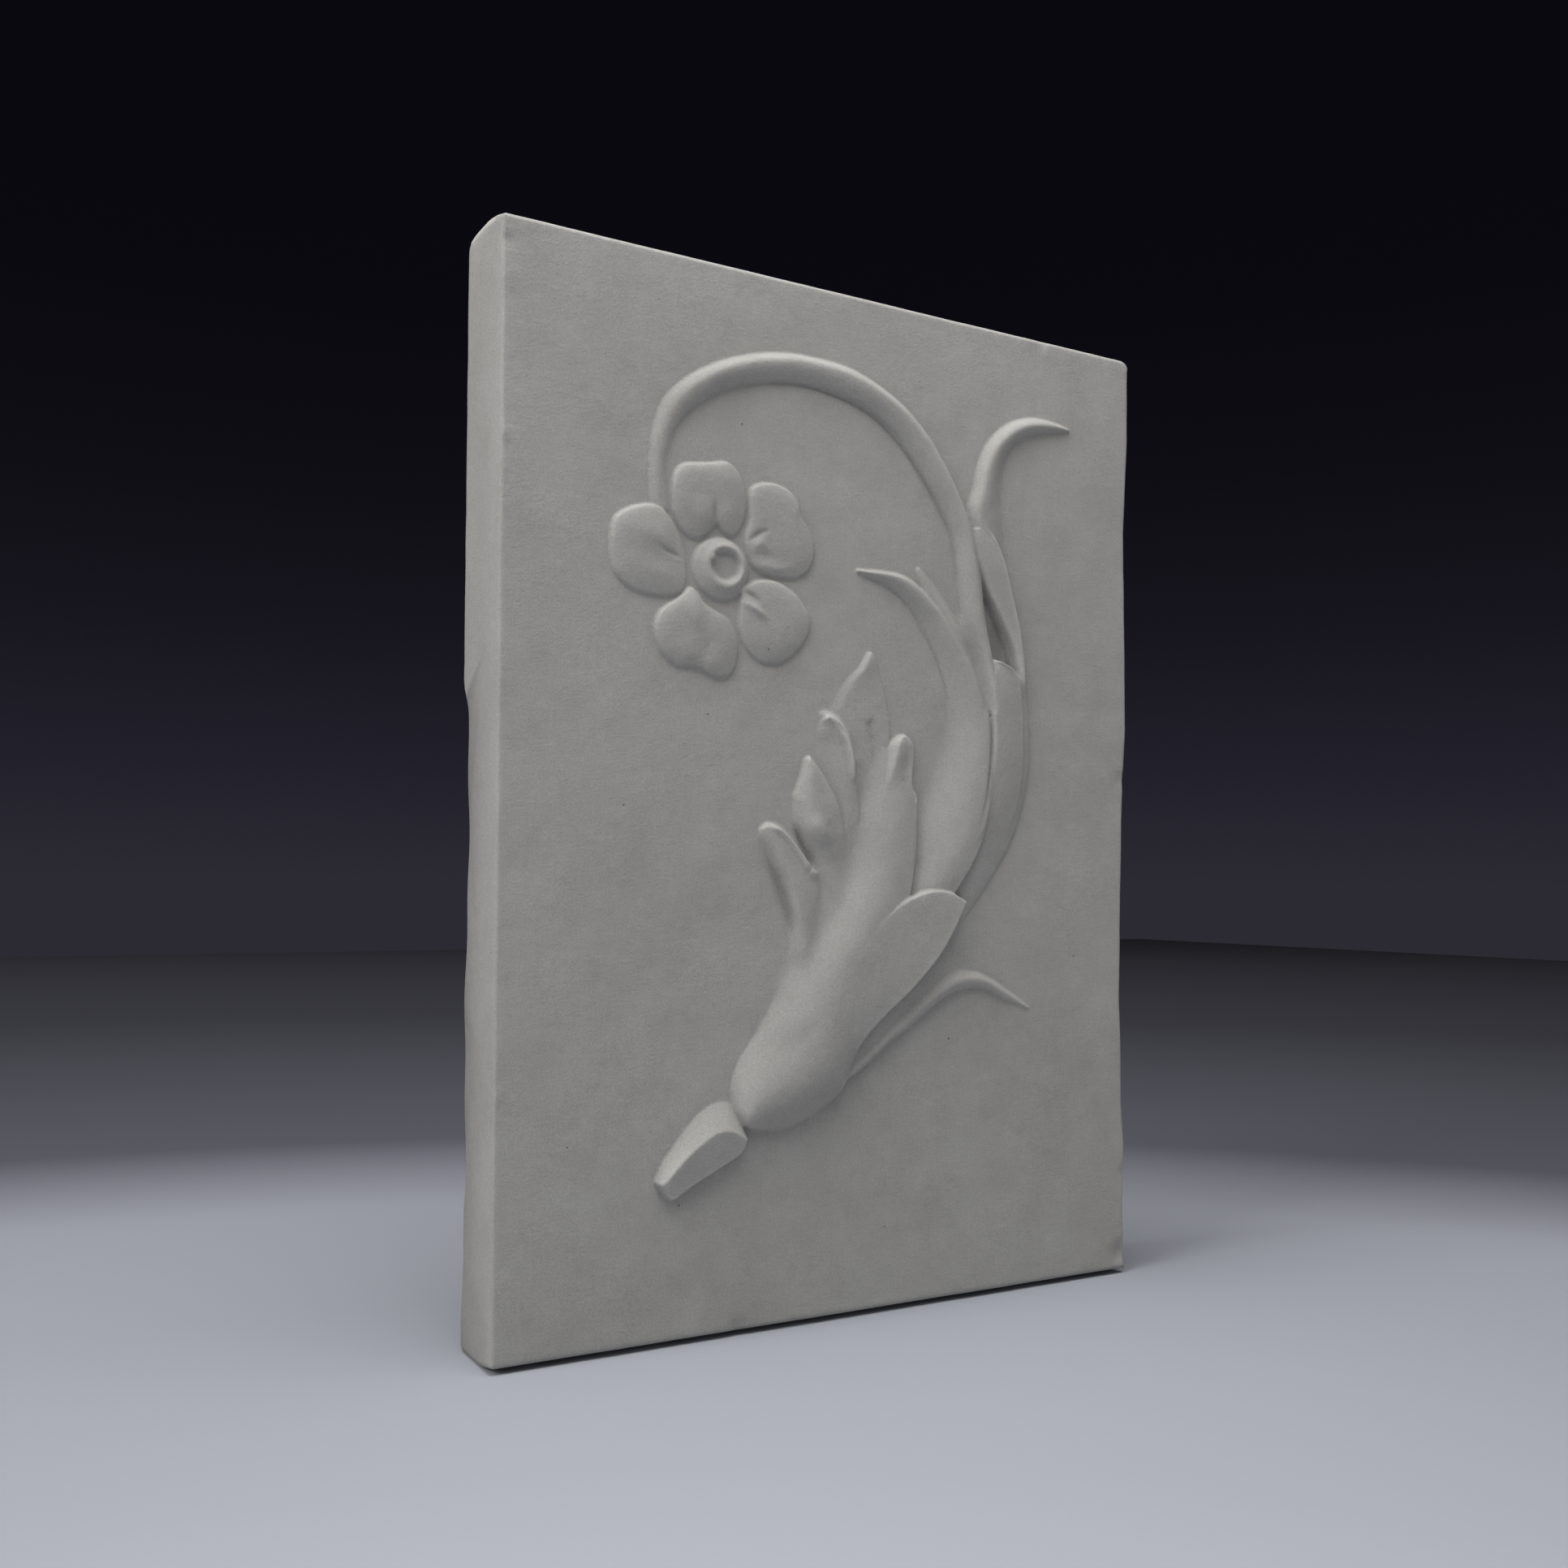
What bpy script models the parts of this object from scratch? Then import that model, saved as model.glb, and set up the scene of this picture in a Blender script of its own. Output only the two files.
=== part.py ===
"""A plaster bas-relief: a thick cast slab with a flower spray standing out of its front.

The slab stands upright on its underside. Its front looks along -Y, +Z is up, and the origin is
on the floor, in the middle of the slab's width and thickness. Lengths are in metres. The spray
is drawn on its own sheet in millimetres: x from the slab's middle line, z from the lower edge of
the front face, and the height of the relief above the ground as a third number.
"""

import math

import bmesh
import bpy
from mathutils import Matrix, Vector

# The slab: a flat front face, and a top and an underside that swell behind it
FACE_HEIGHT = 0.500
PANEL_WIDTH = 0.361
PANEL_THICKNESS = 0.053
TOP_SWELL = 0.005
UNDERSIDE_SWELL = 0.003
FOOT_FLAT_START = 0.014
FRONT_EDGE_ROUND = 0.002
BACK_EDGE_ROUND = 0.006
BACK_TOP_DROP = 0.016
TOP_RIGHT_ROUND = 0.007
OTHER_CORNER_ROUND = 0.002
CORNER_STEPS = 3
RIGHT_SIDE_HOLLOW = 0.0038

# The lower left of the back is spalled away, up to a step in the edge
SPALL_HEIGHT = 0.299
SPALL_DEPTH = 0.015
SPALL_REACH = 0.045
SPALL_STEP_SLOPE = math.radians(20)

# The field that the spray fills, inside plain margins
TOP_MARGIN = 0.035
BOTTOM_MARGIN = 0.064
SIDE_MARGIN = 0.0405
RELIEF_HEIGHT = 0.010

# The sheet that the spray is drawn on, in millimetres
DRAWN_FOOT = 64.0
DRAWN_HEIGHT = 401.0
DRAWN_WIDTH = 280.0
DRAWN_RELIEF = 10.0

# How finely the carving is cut
ALONG = 18
FLANK = 4
PETAL_SIDES = 28
ROOT = 0.004

# The flower, in millimetres on the sheet
FLOWER_CENTRE = (-72.6, 357.0)
BUTTON_RADIUS = 14.2
BUTTON_HEIGHT = 4.0
RING_RADIUS = 10.5
RING_HEIGHT = 1.4
RING_BAND = 4.4
PETAL_HEIGHT = 4.0

PLASTER_COLOUR = (0.52, 0.51, 0.49, 1.0)
PLASTER_ROUGHNESS = 0.9


def spray_scale():
    """How large the drawn spray is on the slab: it fills the field, and keeps its proportions."""
    field_height = FACE_HEIGHT - TOP_MARGIN - BOTTOM_MARGIN
    field_width = PANEL_WIDTH - 2 * SIDE_MARGIN
    return min(field_height / DRAWN_HEIGHT, field_width / DRAWN_WIDTH)


def on_slab(x, z, height):
    """A point of the drawing, at its relief height in front of the slab's ground."""
    scale = spray_scale()
    return Vector((
        x * scale,
        -PANEL_THICKNESS / 2 - height * RELIEF_HEIGHT / DRAWN_RELIEF,
        UNDERSIDE_SWELL + BOTTOM_MARGIN + (z - DRAWN_FOOT) * scale,
    ))


def smooth_point(points, share):
    """The point at a share of the way, 0 to 1, along a smooth curve through all the points."""
    place = share * (len(points) - 1)
    step = min(int(place), len(points) - 2)
    part = place - step
    before = points[max(step - 1, 0)]
    start = points[step]
    end = points[step + 1]
    after = points[min(step + 2, len(points) - 1)]
    return tuple(
        0.5 * (2 * b + (c - a) * part + (2 * a - 5 * b + 4 * c - d) * part ** 2
               + (3 * b - a - 3 * c + d) * part ** 3)
        for a, b, c, d in zip(before, start, end, after)
    )


def plaster():
    """Dry matt plaster, a warm pale grey."""
    material = bpy.data.materials.new("cast_plaster")
    material.use_nodes = True
    shader = material.node_tree.nodes["Principled BSDF"]
    shader.inputs["Base Color"].default_value = PLASTER_COLOUR
    shader.inputs["Roughness"].default_value = PLASTER_ROUGHNESS
    shader.inputs["Metallic"].default_value = 0.0
    return material


def add_object(name, shape, collection):
    """A mesh object made from a bmesh, with its faces pointing outwards."""
    bmesh.ops.recalc_face_normals(shape, faces=shape.faces)
    mesh = bpy.data.meshes.new(name)
    shape.to_mesh(mesh)
    shape.free()
    obj = bpy.data.objects.new(name, mesh)
    collection.objects.link(obj)
    return obj


def add_helper(name, shape, collection):
    """A body that only cuts or joins another one."""
    obj = add_object(name, shape, collection)
    obj.display_type = "WIRE"
    obj.hide_render = True
    return obj


def skin(rings, centre=None):
    """A closed shape through rings of points. Its far end is capped, or runs to a point."""
    shape = bmesh.new()
    rows = [[shape.verts.new(point) for point in ring] for ring in rings]
    for lower, upper in zip(rows, rows[1:]):
        for index, vertex in enumerate(lower):
            following = (index + 1) % len(lower)
            shape.faces.new((vertex, lower[following], upper[following], upper[index]))
    shape.faces.new(rows[0])
    if centre is None:
        shape.faces.new(rows[-1])
    else:
        top = shape.verts.new(centre)
        for index, vertex in enumerate(rows[-1]):
            shape.faces.new((vertex, rows[-1][(index + 1) % len(rows[-1])], top))
    return shape


def flank(swell, rim):
    """How one side of a section climbs: pairs of reach and rise, from the edge to the crest."""
    pairs = []
    for step in range(FLANK):
        reach = 1 - math.cos(0.5 * math.pi * step / FLANK)
        rise = math.sin(0.5 * math.pi * reach) ** swell
        pairs.append((reach, rim + (1 - rim) * rise))
    return pairs


def blade(left, right, crest, swell=0.7, rims=(0.0, 0.0), along=ALONG):
    """A leaf or stem between its two drawn edges.

    crest lists, from the base to the tip, where the highest line lies (0 at the left edge, 1 at
    the right) and how high it stands. A swell under 1 fills the sides and over 1 hollows them.
    rims are the shares of the height that the left and right edges rise to as upright walls.
    """
    climb_left = flank(swell, rims[0])
    climb_right = flank(swell, rims[1])
    depth = Vector((0, ROOT, 0))
    rings = []
    for station in range(along + 1):
        share = station / along
        edge_left = Vector(smooth_point(left, share))
        edge_right = Vector(smooth_point(right, share))
        lean, height = smooth_point(crest, share)
        section = [(lean * reach, height * rise) for reach, rise in climb_left]
        section.append((lean, height))
        section += [(1 - (1 - lean) * reach, height * rise) for reach, rise in reversed(climb_right)]
        ring = [on_slab(*edge_left, 0) + depth]
        ring += [on_slab(*edge_left.lerp(edge_right, side), rise) for side, rise in section]
        ring.append(on_slab(*edge_right, 0) + depth)
        rings.append(ring)
    return skin(rings)


PILLOW = ((1.0, 0.45), (0.95, 0.68), (0.82, 0.88), (0.5, 0.98))


def ring_points(points, count):
    """Points spread along a smooth closed curve through the drawn points."""
    wrapped = [points[-1], *points, points[0], points[1]]
    sides = len(points)
    return [
        smooth_point(wrapped, (1 + sides * index / count) / (len(wrapped) - 1))
        for index in range(count)
    ]


def dome(outline, crown, height, levels=PILLOW, dimple=0.0):
    """A pillow-shaped body inside a closed outline, highest at its crown.

    levels are the shares of its reach and height that the rings of its skin have. dimple is how
    far its middle is pressed back below the highest level.
    """
    middle = Vector(crown)
    rings = [[on_slab(x, z, 0) + Vector((0, ROOT, 0)) for x, z in outline]]
    for reach, climb in levels:
        points = [middle.lerp(Vector(point), reach) for point in outline]
        rings.append([on_slab(x, z, height * climb) for x, z in points])
    return skin(rings, centre=on_slab(*middle, height - dimple))


def slab_section():
    """How the slab's outline changes from front to back.

    Each entry is a depth behind the front face, how far the sides draw in there, and how high
    the top and the underside lie.
    """
    back_start = PANEL_THICKNESS - BACK_EDGE_ROUND
    depths = [FRONT_EDGE_ROUND * share for share in (0, 0.15, 0.5, 1)]
    depths += [FOOT_FLAT_START * share for share in (0.5, 1)]
    depths += [PANEL_THICKNESS * share for share in (0.42, 0.6, 0.75)]
    depths += [back_start + BACK_EDGE_ROUND * share for share in (0, 0.4, 0.75, 0.95, 1)]
    section = []
    for depth in depths:
        front = max(0.0, 1 - depth / FRONT_EDGE_ROUND)
        behind = min(1.0, max(0.0, (depth - back_start) / BACK_EDGE_ROUND))
        draw_in = FRONT_EDGE_ROUND * (1 - math.sqrt(1 - front ** 2))
        back_in = BACK_EDGE_ROUND * (1 - math.sqrt(1 - behind ** 2))
        rise = TOP_SWELL * math.sin(0.5 * math.pi * min(1, 2 * depth / PANEL_THICKNESS))
        drop = BACK_TOP_DROP * behind ** 3
        lift = UNDERSIDE_SWELL * (1 - math.sin(0.5 * math.pi * min(1, depth / FOOT_FLAT_START)))
        top = UNDERSIDE_SWELL + FACE_HEIGHT + rise - drop - draw_in
        section.append((depth, draw_in + back_in, top, lift + draw_in + back_in))
    return section


def slab_outline(draw_in, top, bottom):
    """The slab's outline at one depth: corners rounded, the right side bowed slightly inwards."""
    half = PANEL_WIDTH / 2 - draw_in
    corners = [
        (half, bottom, -90, OTHER_CORNER_ROUND),
        (half, top, 0, TOP_RIGHT_ROUND),
        (-half, top, 90, OTHER_CORNER_ROUND),
        (-half, bottom, 180, OTHER_CORNER_ROUND),
    ]
    runs = []
    for x, z, start, radius in corners:
        inner_x = x - math.copysign(radius, x)
        inner_z = z + radius if z == bottom else z - radius
        angles = [math.radians(start + 90 * step / CORNER_STEPS) for step in range(CORNER_STEPS + 1)]
        runs.append([(inner_x + radius * math.cos(a), inner_z + radius * math.sin(a)) for a in angles])
    height = top - bottom
    hollow = [
        (half - RIGHT_SIDE_HOLLOW * math.sin(math.pi * share) ** 1.5, bottom + share * height)
        for share in (0.12, 0.22, 0.32, 0.42, 0.52, 0.62, 0.74, 0.86)
    ]
    return runs[0] + hollow + runs[1] + runs[2] + runs[3]


def slab(collection):
    """The plain slab, from its front face to its back."""
    front = -PANEL_THICKNESS / 2
    rings = [
        [Vector((x, front + depth, z)) for x, z in slab_outline(draw_in, top, bottom)]
        for depth, draw_in, top, bottom in slab_section()
    ]
    return add_object("relief_panel", skin(rings), collection)


def spall(collection):
    """What is missing at the lower left of the back: a long wedge, stepped at its top."""
    spare = 0.02
    shape = bmesh.new()
    bmesh.ops.create_cube(shape, size=1.0)
    size = Vector((2 * SPALL_REACH + 2 * spare, 2 * spare, SPALL_HEIGHT + spare))
    bmesh.ops.scale(shape, vec=size, verts=shape.verts)
    bmesh.ops.translate(shape, vec=(0, size.y / 2, size.z / 2), verts=shape.verts)
    for vertex in shape.verts:
        if vertex.co.z > size.z / 2:
            vertex.co.z += vertex.co.y * math.tan(SPALL_STEP_SLOPE)
    slope = math.atan2(SPALL_DEPTH, SPALL_REACH)
    bmesh.ops.rotate(shape, matrix=Matrix.Rotation(slope, 3, "Z"), verts=shape.verts)
    corner = (-PANEL_WIDTH / 2, PANEL_THICKNESS / 2 - SPALL_DEPTH, -spare)
    bmesh.ops.translate(shape, vec=corner, verts=shape.verts)
    return add_helper("spall_cutter", shape, collection)


def stem():
    """The long stem, which rises from the leaves and arches over to the flower."""
    left = [
        (87, 284), (83, 306), (76, 326), (69, 343), (65, 366), (61.5, 386), (52, 403), (40.5, 418), (28, 431),
        (13, 441.8), (-5, 448), (-27, 451), (-46, 449), (-62, 445), (-77, 438), (-90, 427.5), (-97.5, 417),
        (-101.5, 404), (-101.5, 392), (-100, 380),
    ]
    right = [
        (93, 286), (91.5, 308), (86.5, 328), (82, 348), (79, 368), (73.5, 391), (65.5, 408.5), (56, 424),
        (44, 439), (26, 452.5), (0, 463), (-27.5, 465), (-46.5, 463), (-64, 458), (-80, 450.7), (-94, 441),
        (-103.5, 430), (-108.5, 415), (-110, 398), (-109, 380),
    ]
    crest = [
        (0.55, 6), (0.6, 5.2), (0.64, 5), (0.66, 4.9), (0.66, 4.8), (0.64, 4.6), (0.6, 4), (0.5, 2),
        (0.5, 1.5),
    ]
    return blade(left, right, crest, swell=0.8, rims=(0.2, 0.1), along=44)


def hooked_leaf():
    """The thin leaf that stands up at the upper right and hooks over to its point."""
    left = [
        (86, 352), (74.5, 378), (70.5, 402), (74.5, 418), (80.5, 434), (89, 446.5), (104, 455),
        (121, 458), (137, 456),
    ]
    right = [
        (100, 352), (96.5, 377), (93.3, 400), (92.6, 414), (94.5, 430), (101, 440.5), (112, 447.5),
        (125, 451.3), (138, 454),
    ]
    crest = [(0.4, 2.5), (0.32, 4.2), (0.3, 4.3), (0.4, 4.2), (0.5, 2)]
    return blade(left, right, crest, swell=0.9, along=22)


def upper_bract():
    """The bract that clasps the stem below the hooked leaf: a flat panel with a ridge at its right."""
    left = [(73.5, 393), (74.8, 384), (77, 373), (81, 361), (88.5, 350), (96, 340), (102, 326)]
    right = [(84, 393), (91, 384), (95, 373), (99, 359), (102.3, 347), (104.8, 336), (107, 322)]
    crest = [(0.3, 4.6), (0.6, 5.6), (0.75, 5.8), (0.78, 5.6), (0.75, 5.2), (0.6, 4.8), (0.5, 4.4)]
    return blade(left, right, crest, swell=0.8, rims=(0.6, 0.5))


def outer_leaf():
    """The leaf along the right of the spray, from the sheath up past the lower bract."""
    left = [(50, 182), (63, 208), (75, 238), (81, 270), (83, 290), (88, 304), (96, 312)]
    right = [(66, 184), (88, 212), (104, 240), (109.5, 268), (110.5, 290), (109.5, 306), (107.5, 319)]
    crest = [(0.25, 3.5), (0.2, 6), (0.16, 7), (0.16, 6.8), (0.25, 6), (0.4, 4.8), (0.5, 3.6)]
    return blade(left, right, crest, swell=0.9)


def lower_bract():
    """The second bract, whose blunt top closes the hollow below the first one."""
    left = [(84, 325.5), (83.5, 312), (83, 300), (82, 280), (77.5, 252)]
    right = [(99.5, 319), (103.3, 310), (104.5, 298), (104, 278), (99, 252)]
    crest = [(0.2, 6), (0.18, 7), (0.18, 7.6), (0.2, 7.6), (0.4, 5)]
    return blade(left, right, crest, swell=0.8, rims=(0.75, 0.5))


def centre_blade():
    """The broad blade beside the stem, which curls over to a point on the left."""
    left = [
        (35, 186), (39, 208), (42, 232), (48, 256), (56, 275), (58.5, 292), (55, 316), (46, 334), (34, 349),
        (20, 358), (4, 363.3),
    ]
    right = [
        (68, 186), (75.5, 208), (79.5, 232), (81.5, 256), (82.5, 280), (81, 300), (74.5, 318), (64, 334),
        (51, 350), (31, 363.5), (5, 365.5),
    ]
    crest = [
        (0.6, 7), (0.72, 7.4), (0.8, 7.6), (0.85, 7.4), (0.87, 6.6), (0.85, 5.8), (0.8, 5.2),
        (0.76, 4.6), (0.6, 2.4),
    ]
    return blade(left, right, crest, swell=1.0, rims=(0.15, 0.2), along=26)


def second_tip():
    """The low tip that shows behind the centre blade."""
    left = [(66, 318), (56, 337), (47, 352), (38.5, 369)]
    right = [(78, 320), (66.5, 341), (53, 358), (39.5, 370.5)]
    crest = [(0.35, 5), (0.3, 4.2), (0.3, 3.2), (0.5, 1.2)]
    return blade(left, right, crest, swell=0.9, rims=(0.3, 0.1), along=10)


def tip_leaf():
    """The leaf at the back of the lobes, which ends in their highest point and has a rim at its left."""
    left = [(-15, 236), (-18.5, 262), (-16.5, 286), (-12.5, 300.5), (-7, 310), (1, 318), (8.5, 323.5)]
    right = [(23, 236), (23, 262), (21, 286), (18, 301), (15.5, 311), (13, 318), (11, 324)]
    crest = [(0.3, 3), (0.14, 3.6), (0.12, 4), (0.14, 4), (0.2, 3.9), (0.3, 3.7), (0.5, 3)]
    return blade(left, right, crest, swell=0.8, rims=(0.1, 0.35), along=14)


def rib_leaf():
    """The broad leaf that runs up out of the sheath, in the middle of the lobes."""
    left = [(-38, 155), (-26, 172), (-12, 190), (-4, 212), (0.5, 232), (3, 253), (9, 278)]
    right = [(12, 152), (24, 177), (31.5, 200), (35.5, 219), (38, 237), (38, 252), (29, 274)]
    crest = [(0.55, 9.4), (0.55, 9.4), (0.55, 8.4), (0.55, 7.6), (0.55, 6.8), (0.58, 5.4), (0.6, 3.4)]
    return blade(left, right, crest, swell=0.85, rims=(0.15, 0.6), along=20)


def right_lobe():
    """The blunt lobe at the right of the foliage."""
    left = [(14, 240), (15.5, 258), (18.5, 275), (27, 285.5)]
    right = [(36, 240), (36.3, 258), (38, 276), (32, 286.5)]
    crest = [(0.35, 4), (0.3, 5.4), (0.32, 5.4), (0.5, 3.8)]
    return blade(left, right, crest, swell=0.9, rims=(0.1, 0.75), along=10)


def upper_left_lobe():
    """The lobe below the main point, whose rim curls forward at the top and the right."""
    left = [(-12, 216), (-18, 246), (-21.5, 270), (-21, 284), (-21, 290.5)]
    right = [(3, 218), (4, 246), (1.5, 270), (-3.5, 283), (-13.5, 291.5)]
    crest = [(0.7, 2.4), (0.8, 3.8), (0.86, 4.8), (0.84, 5), (0.5, 4)]
    return blade(left, right, crest, swell=1.4, rims=(0.4, 0.2), along=14)


def middle_left_lobe():
    """The long lobe in the middle of the left side, swollen towards its tip."""
    left = [(-16, 184), (-17, 208), (-22, 225), (-30, 238), (-32, 250), (-31, 260), (-28.5, 269.5)]
    right = [(0, 186), (-4, 212), (-5.3, 230), (-9, 244), (-15.5, 255.5), (-22, 264.5), (-27, 270.5)]
    crest = [(0.6, 4), (0.6, 4.6), (0.55, 5.6), (0.5, 6.2), (0.5, 5.4), (0.5, 4.2), (0.5, 2.6)]
    return blade(left, right, crest, swell=0.75, rims=(0.2, 0.3))


def lower_left_lobe():
    """The lowest lobe, which turns out to the left."""
    left = [(-24, 154), (-30.5, 178), (-34, 197), (-40.5, 212), (-47, 224), (-51, 234)]
    right = [(-10, 156), (-17, 184), (-20, 205), (-26, 219), (-35, 231), (-46, 238)]
    crest = [(0.6, 3), (0.62, 4.4), (0.7, 4.8), (0.78, 4.8), (0.78, 4.4), (0.5, 3.2)]
    return blade(left, right, crest, swell=0.8, rims=(0.4, 0.3))


def leaf_foot():
    """The low swelling that all the lobes spring from, above the sheath."""
    left = [(-34, 150), (-29.5, 178), (-27, 200), (-20, 222), (-10, 244)]
    right = [(40, 150), (42, 178), (44, 200), (42, 222), (34, 244)]
    crest = [(0.6, 6), (0.6, 5), (0.6, 4.4), (0.6, 3.8), (0.55, 2.6)]
    return blade(left, right, crest, swell=0.5, rims=(0.3, 0.3), along=8)


def sheath():
    """The fat sheath that holds the leaves, and runs out into them at its upper end."""
    left = [(-61, 97), (-64.5, 107), (-61.5, 124), (-50, 142.5), (-36.5, 159.6), (-24, 173.5), (-10, 192)]
    right = [(-56, 93.3), (-40, 92.1), (-21, 97.5), (-4, 110), (10, 136), (24, 158), (38, 184)]
    crest = [(0.5, 4), (0.5, 9), (0.52, 10), (0.55, 10), (0.55, 10), (0.55, 9.6), (0.55, 8)]
    return blade(left, right, crest, swell=0.8, rims=(0, 0.2), along=22)


def mouth_scale():
    """The scale at the right of the sheath, whose raised rim makes the sheath's mouth."""
    left = [(-34, 106), (-22, 130), (-5, 156), (13, 181), (30, 197), (48, 205), (65, 201.5)]
    right = [(-16, 101.5), (-4, 114), (10, 137), (27, 152), (43, 167.5), (60, 184), (69, 199)]
    crest = [(0.5, 5), (0.45, 9), (0.35, 9.8), (0.3, 10), (0.3, 10), (0.3, 9.6), (0.4, 8)]
    return blade(left, right, crest, swell=0.7, rims=(0.7, 0.8), along=20)


def low_leaf():
    """The leaf that springs from under the sheath and curls away to the lower right."""
    left = [
        (-4, 117), (9, 127.5), (24, 137.8), (40, 147.2), (56.5, 158), (69, 164), (83, 162.8), (97, 156),
        (113, 145.5),
    ]
    right = [
        (-2, 113), (11, 121.5), (27, 132.8), (43, 142.5), (58.5, 151.5), (72, 155), (85, 154),
        (98.5, 148.5), (113, 143.5),
    ]
    crest = [
        (0.6, 3.4), (0.56, 4), (0.56, 4.2), (0.56, 4.3), (0.56, 4.3), (0.58, 4.2), (0.58, 3.8),
        (0.5, 3), (0.5, 1.5),
    ]
    return blade(left, right, crest, swell=0.9, rims=(0.1, 0.4))


def channel():
    """The floor between the sheath and the low leaf, which stands a little above the ground."""
    left = [(-12, 112), (8, 132), (34, 154), (62, 182)]
    right = [(-1, 114.5), (17, 129), (44, 147.5), (68, 163)]
    crest = [(0.5, 2.8), (0.5, 2.4), (0.5, 1.8), (0.5, 0.6)]
    return blade(left, right, crest, swell=0.5, rims=(0.8, 0.6), along=8)


def cut_stub():
    """The cut end of the stalk below the sheath: a short block with two facets."""
    left = [(-103.8, 73.5), (-97, 84.5), (-89, 94.8), (-81, 102.8), (-71.5, 106.8), (-62, 102)]
    right = [(-98.5, 65.5), (-90, 67.8), (-79.5, 73), (-69, 78.2), (-60, 83.6), (-57.3, 90.5)]
    crest = [(0.33, 5.4), (0.34, 6.4), (0.38, 6.8), (0.43, 7), (0.45, 6.4), (0.5, 4)]
    return blade(left, right, crest, swell=1.0, rims=(0.1, 0.6), along=10)


def petal_top():
    """The top petal, with a cleft where it meets the button."""
    outline = [
        (-99, 391), (-95.5, 401.5), (-84, 405), (-71, 407), (-62.5, 400.5), (-60, 388), (-65, 374),
        (-76.8, 375.5), (-86.5, 369), (-95, 379),
    ]
    return petal(outline, (-80, 390))


def petal_upper_right():
    """The petal at the upper right, notched at its outer edge."""
    outline = [
        (-58.6, 390), (-54, 398), (-44.5, 400.5), (-34.5, 396), (-29, 386.5), (-22.5, 376.5), (-23, 364.5),
        (-33, 356.5), (-50, 356.3), (-59, 365), (-60.2, 377),
    ]
    return petal(outline, (-41, 378))


def petal_lower_right():
    """The petal at the lower right."""
    outline = [
        (-63.8, 333), (-62, 343), (-54.5, 351.8), (-42, 354), (-30.5, 347.8), (-25, 335.5), (-29.5, 325),
        (-41, 314.5), (-55.5, 316.3),
    ]
    return petal(outline, (-44, 334))


def petal_bottom():
    """The bottom petal, pointed at its inner end and faintly notched at its outer edge."""
    outline = [
        (-89, 346), (-99, 338.5), (-107, 327), (-102.5, 313.5), (-91.5, 308.4), (-83, 306.2), (-74, 304.3),
        (-65, 311), (-64, 323), (-72, 334.5), (-82.5, 340),
    ]
    return petal(outline, (-86, 322))


def petal_left():
    """The left petal."""
    outline = [
        (-129.5, 361), (-126, 374.5), (-111.5, 383.5), (-98.8, 378.5), (-92.3, 367), (-90.3, 353),
        (-98, 342),
        (-111, 339.8), (-125, 346.5),
    ]
    return petal(outline, (-110, 362))


def petal(outline, crown):
    """One petal of the flower."""
    return dome(ring_points(outline, PETAL_SIDES), crown, PETAL_HEIGHT)


def button():
    """The flower's round middle, with a ring round a dimple on top."""
    inner = RING_RADIUS - RING_BAND
    ring_top = BUTTON_HEIGHT + RING_HEIGHT
    levels = [
        (1.0, 0.1),
        (0.95, 0.5 * BUTTON_HEIGHT / ring_top),
        (RING_RADIUS / BUTTON_RADIUS, BUTTON_HEIGHT / ring_top),
        ((RING_RADIUS - RING_BAND / 2) / BUTTON_RADIUS, 1.0),
        (inner / BUTTON_RADIUS, BUTTON_HEIGHT / ring_top),
    ]
    angles = [2 * math.pi * side / PETAL_SIDES for side in range(PETAL_SIDES)]
    x, z = FLOWER_CENTRE
    rim = [(x + BUTTON_RADIUS * math.cos(a), z + BUTTON_RADIUS * math.sin(a)) for a in angles]
    return dome(rim, FLOWER_CENTRE, ring_top, levels, dimple=2 * RING_HEIGHT)


def join(panel, body):
    """Makes a body one with the slab."""
    union = panel.modifiers.new(body.name, "BOOLEAN")
    union.operation = "UNION"
    union.solver = "EXACT"
    union.object = body


for old in list(bpy.data.objects):
    bpy.data.objects.remove(old)

parts = bpy.data.collections.new("plaster_bas_relief")
helpers = bpy.data.collections.new("cutters")
for group in (parts, helpers):
    bpy.context.scene.collection.children.link(group)

relief_panel = slab(parts)
relief_panel.data.materials.append(plaster())
break_away = relief_panel.modifiers.new("spalled back", "BOOLEAN")
break_away.operation = "DIFFERENCE"
break_away.solver = "EXACT"
break_away.object = spall(helpers)

carving = [
    ("stem", stem()),
    ("hooked_leaf", hooked_leaf()),
    ("upper_bract", upper_bract()),
    ("outer_leaf", outer_leaf()),
    ("lower_bract", lower_bract()),
    ("second_tip", second_tip()),
    ("centre_blade", centre_blade()),
    ("leaf_foot", leaf_foot()),
    ("tip_leaf", tip_leaf()),
    ("rib_leaf", rib_leaf()),
    ("right_lobe", right_lobe()),
    ("upper_left_lobe", upper_left_lobe()),
    ("middle_left_lobe", middle_left_lobe()),
    ("lower_left_lobe", lower_left_lobe()),
    ("sheath", sheath()),
    ("mouth_scale", mouth_scale()),
    ("channel", channel()),
    ("low_leaf", low_leaf()),
    ("cut_stub", cut_stub()),
    ("petal_top", petal_top()),
    ("petal_upper_right", petal_upper_right()),
    ("petal_lower_right", petal_lower_right()),
    ("petal_bottom", petal_bottom()),
    ("petal_left", petal_left()),
    ("button", button()),
]
for part_name, part_shape in carving:
    join(relief_panel, add_helper(part_name, part_shape, helpers))
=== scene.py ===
import math

import bpy
import numpy as np
from mathutils import Matrix, Vector


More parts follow.
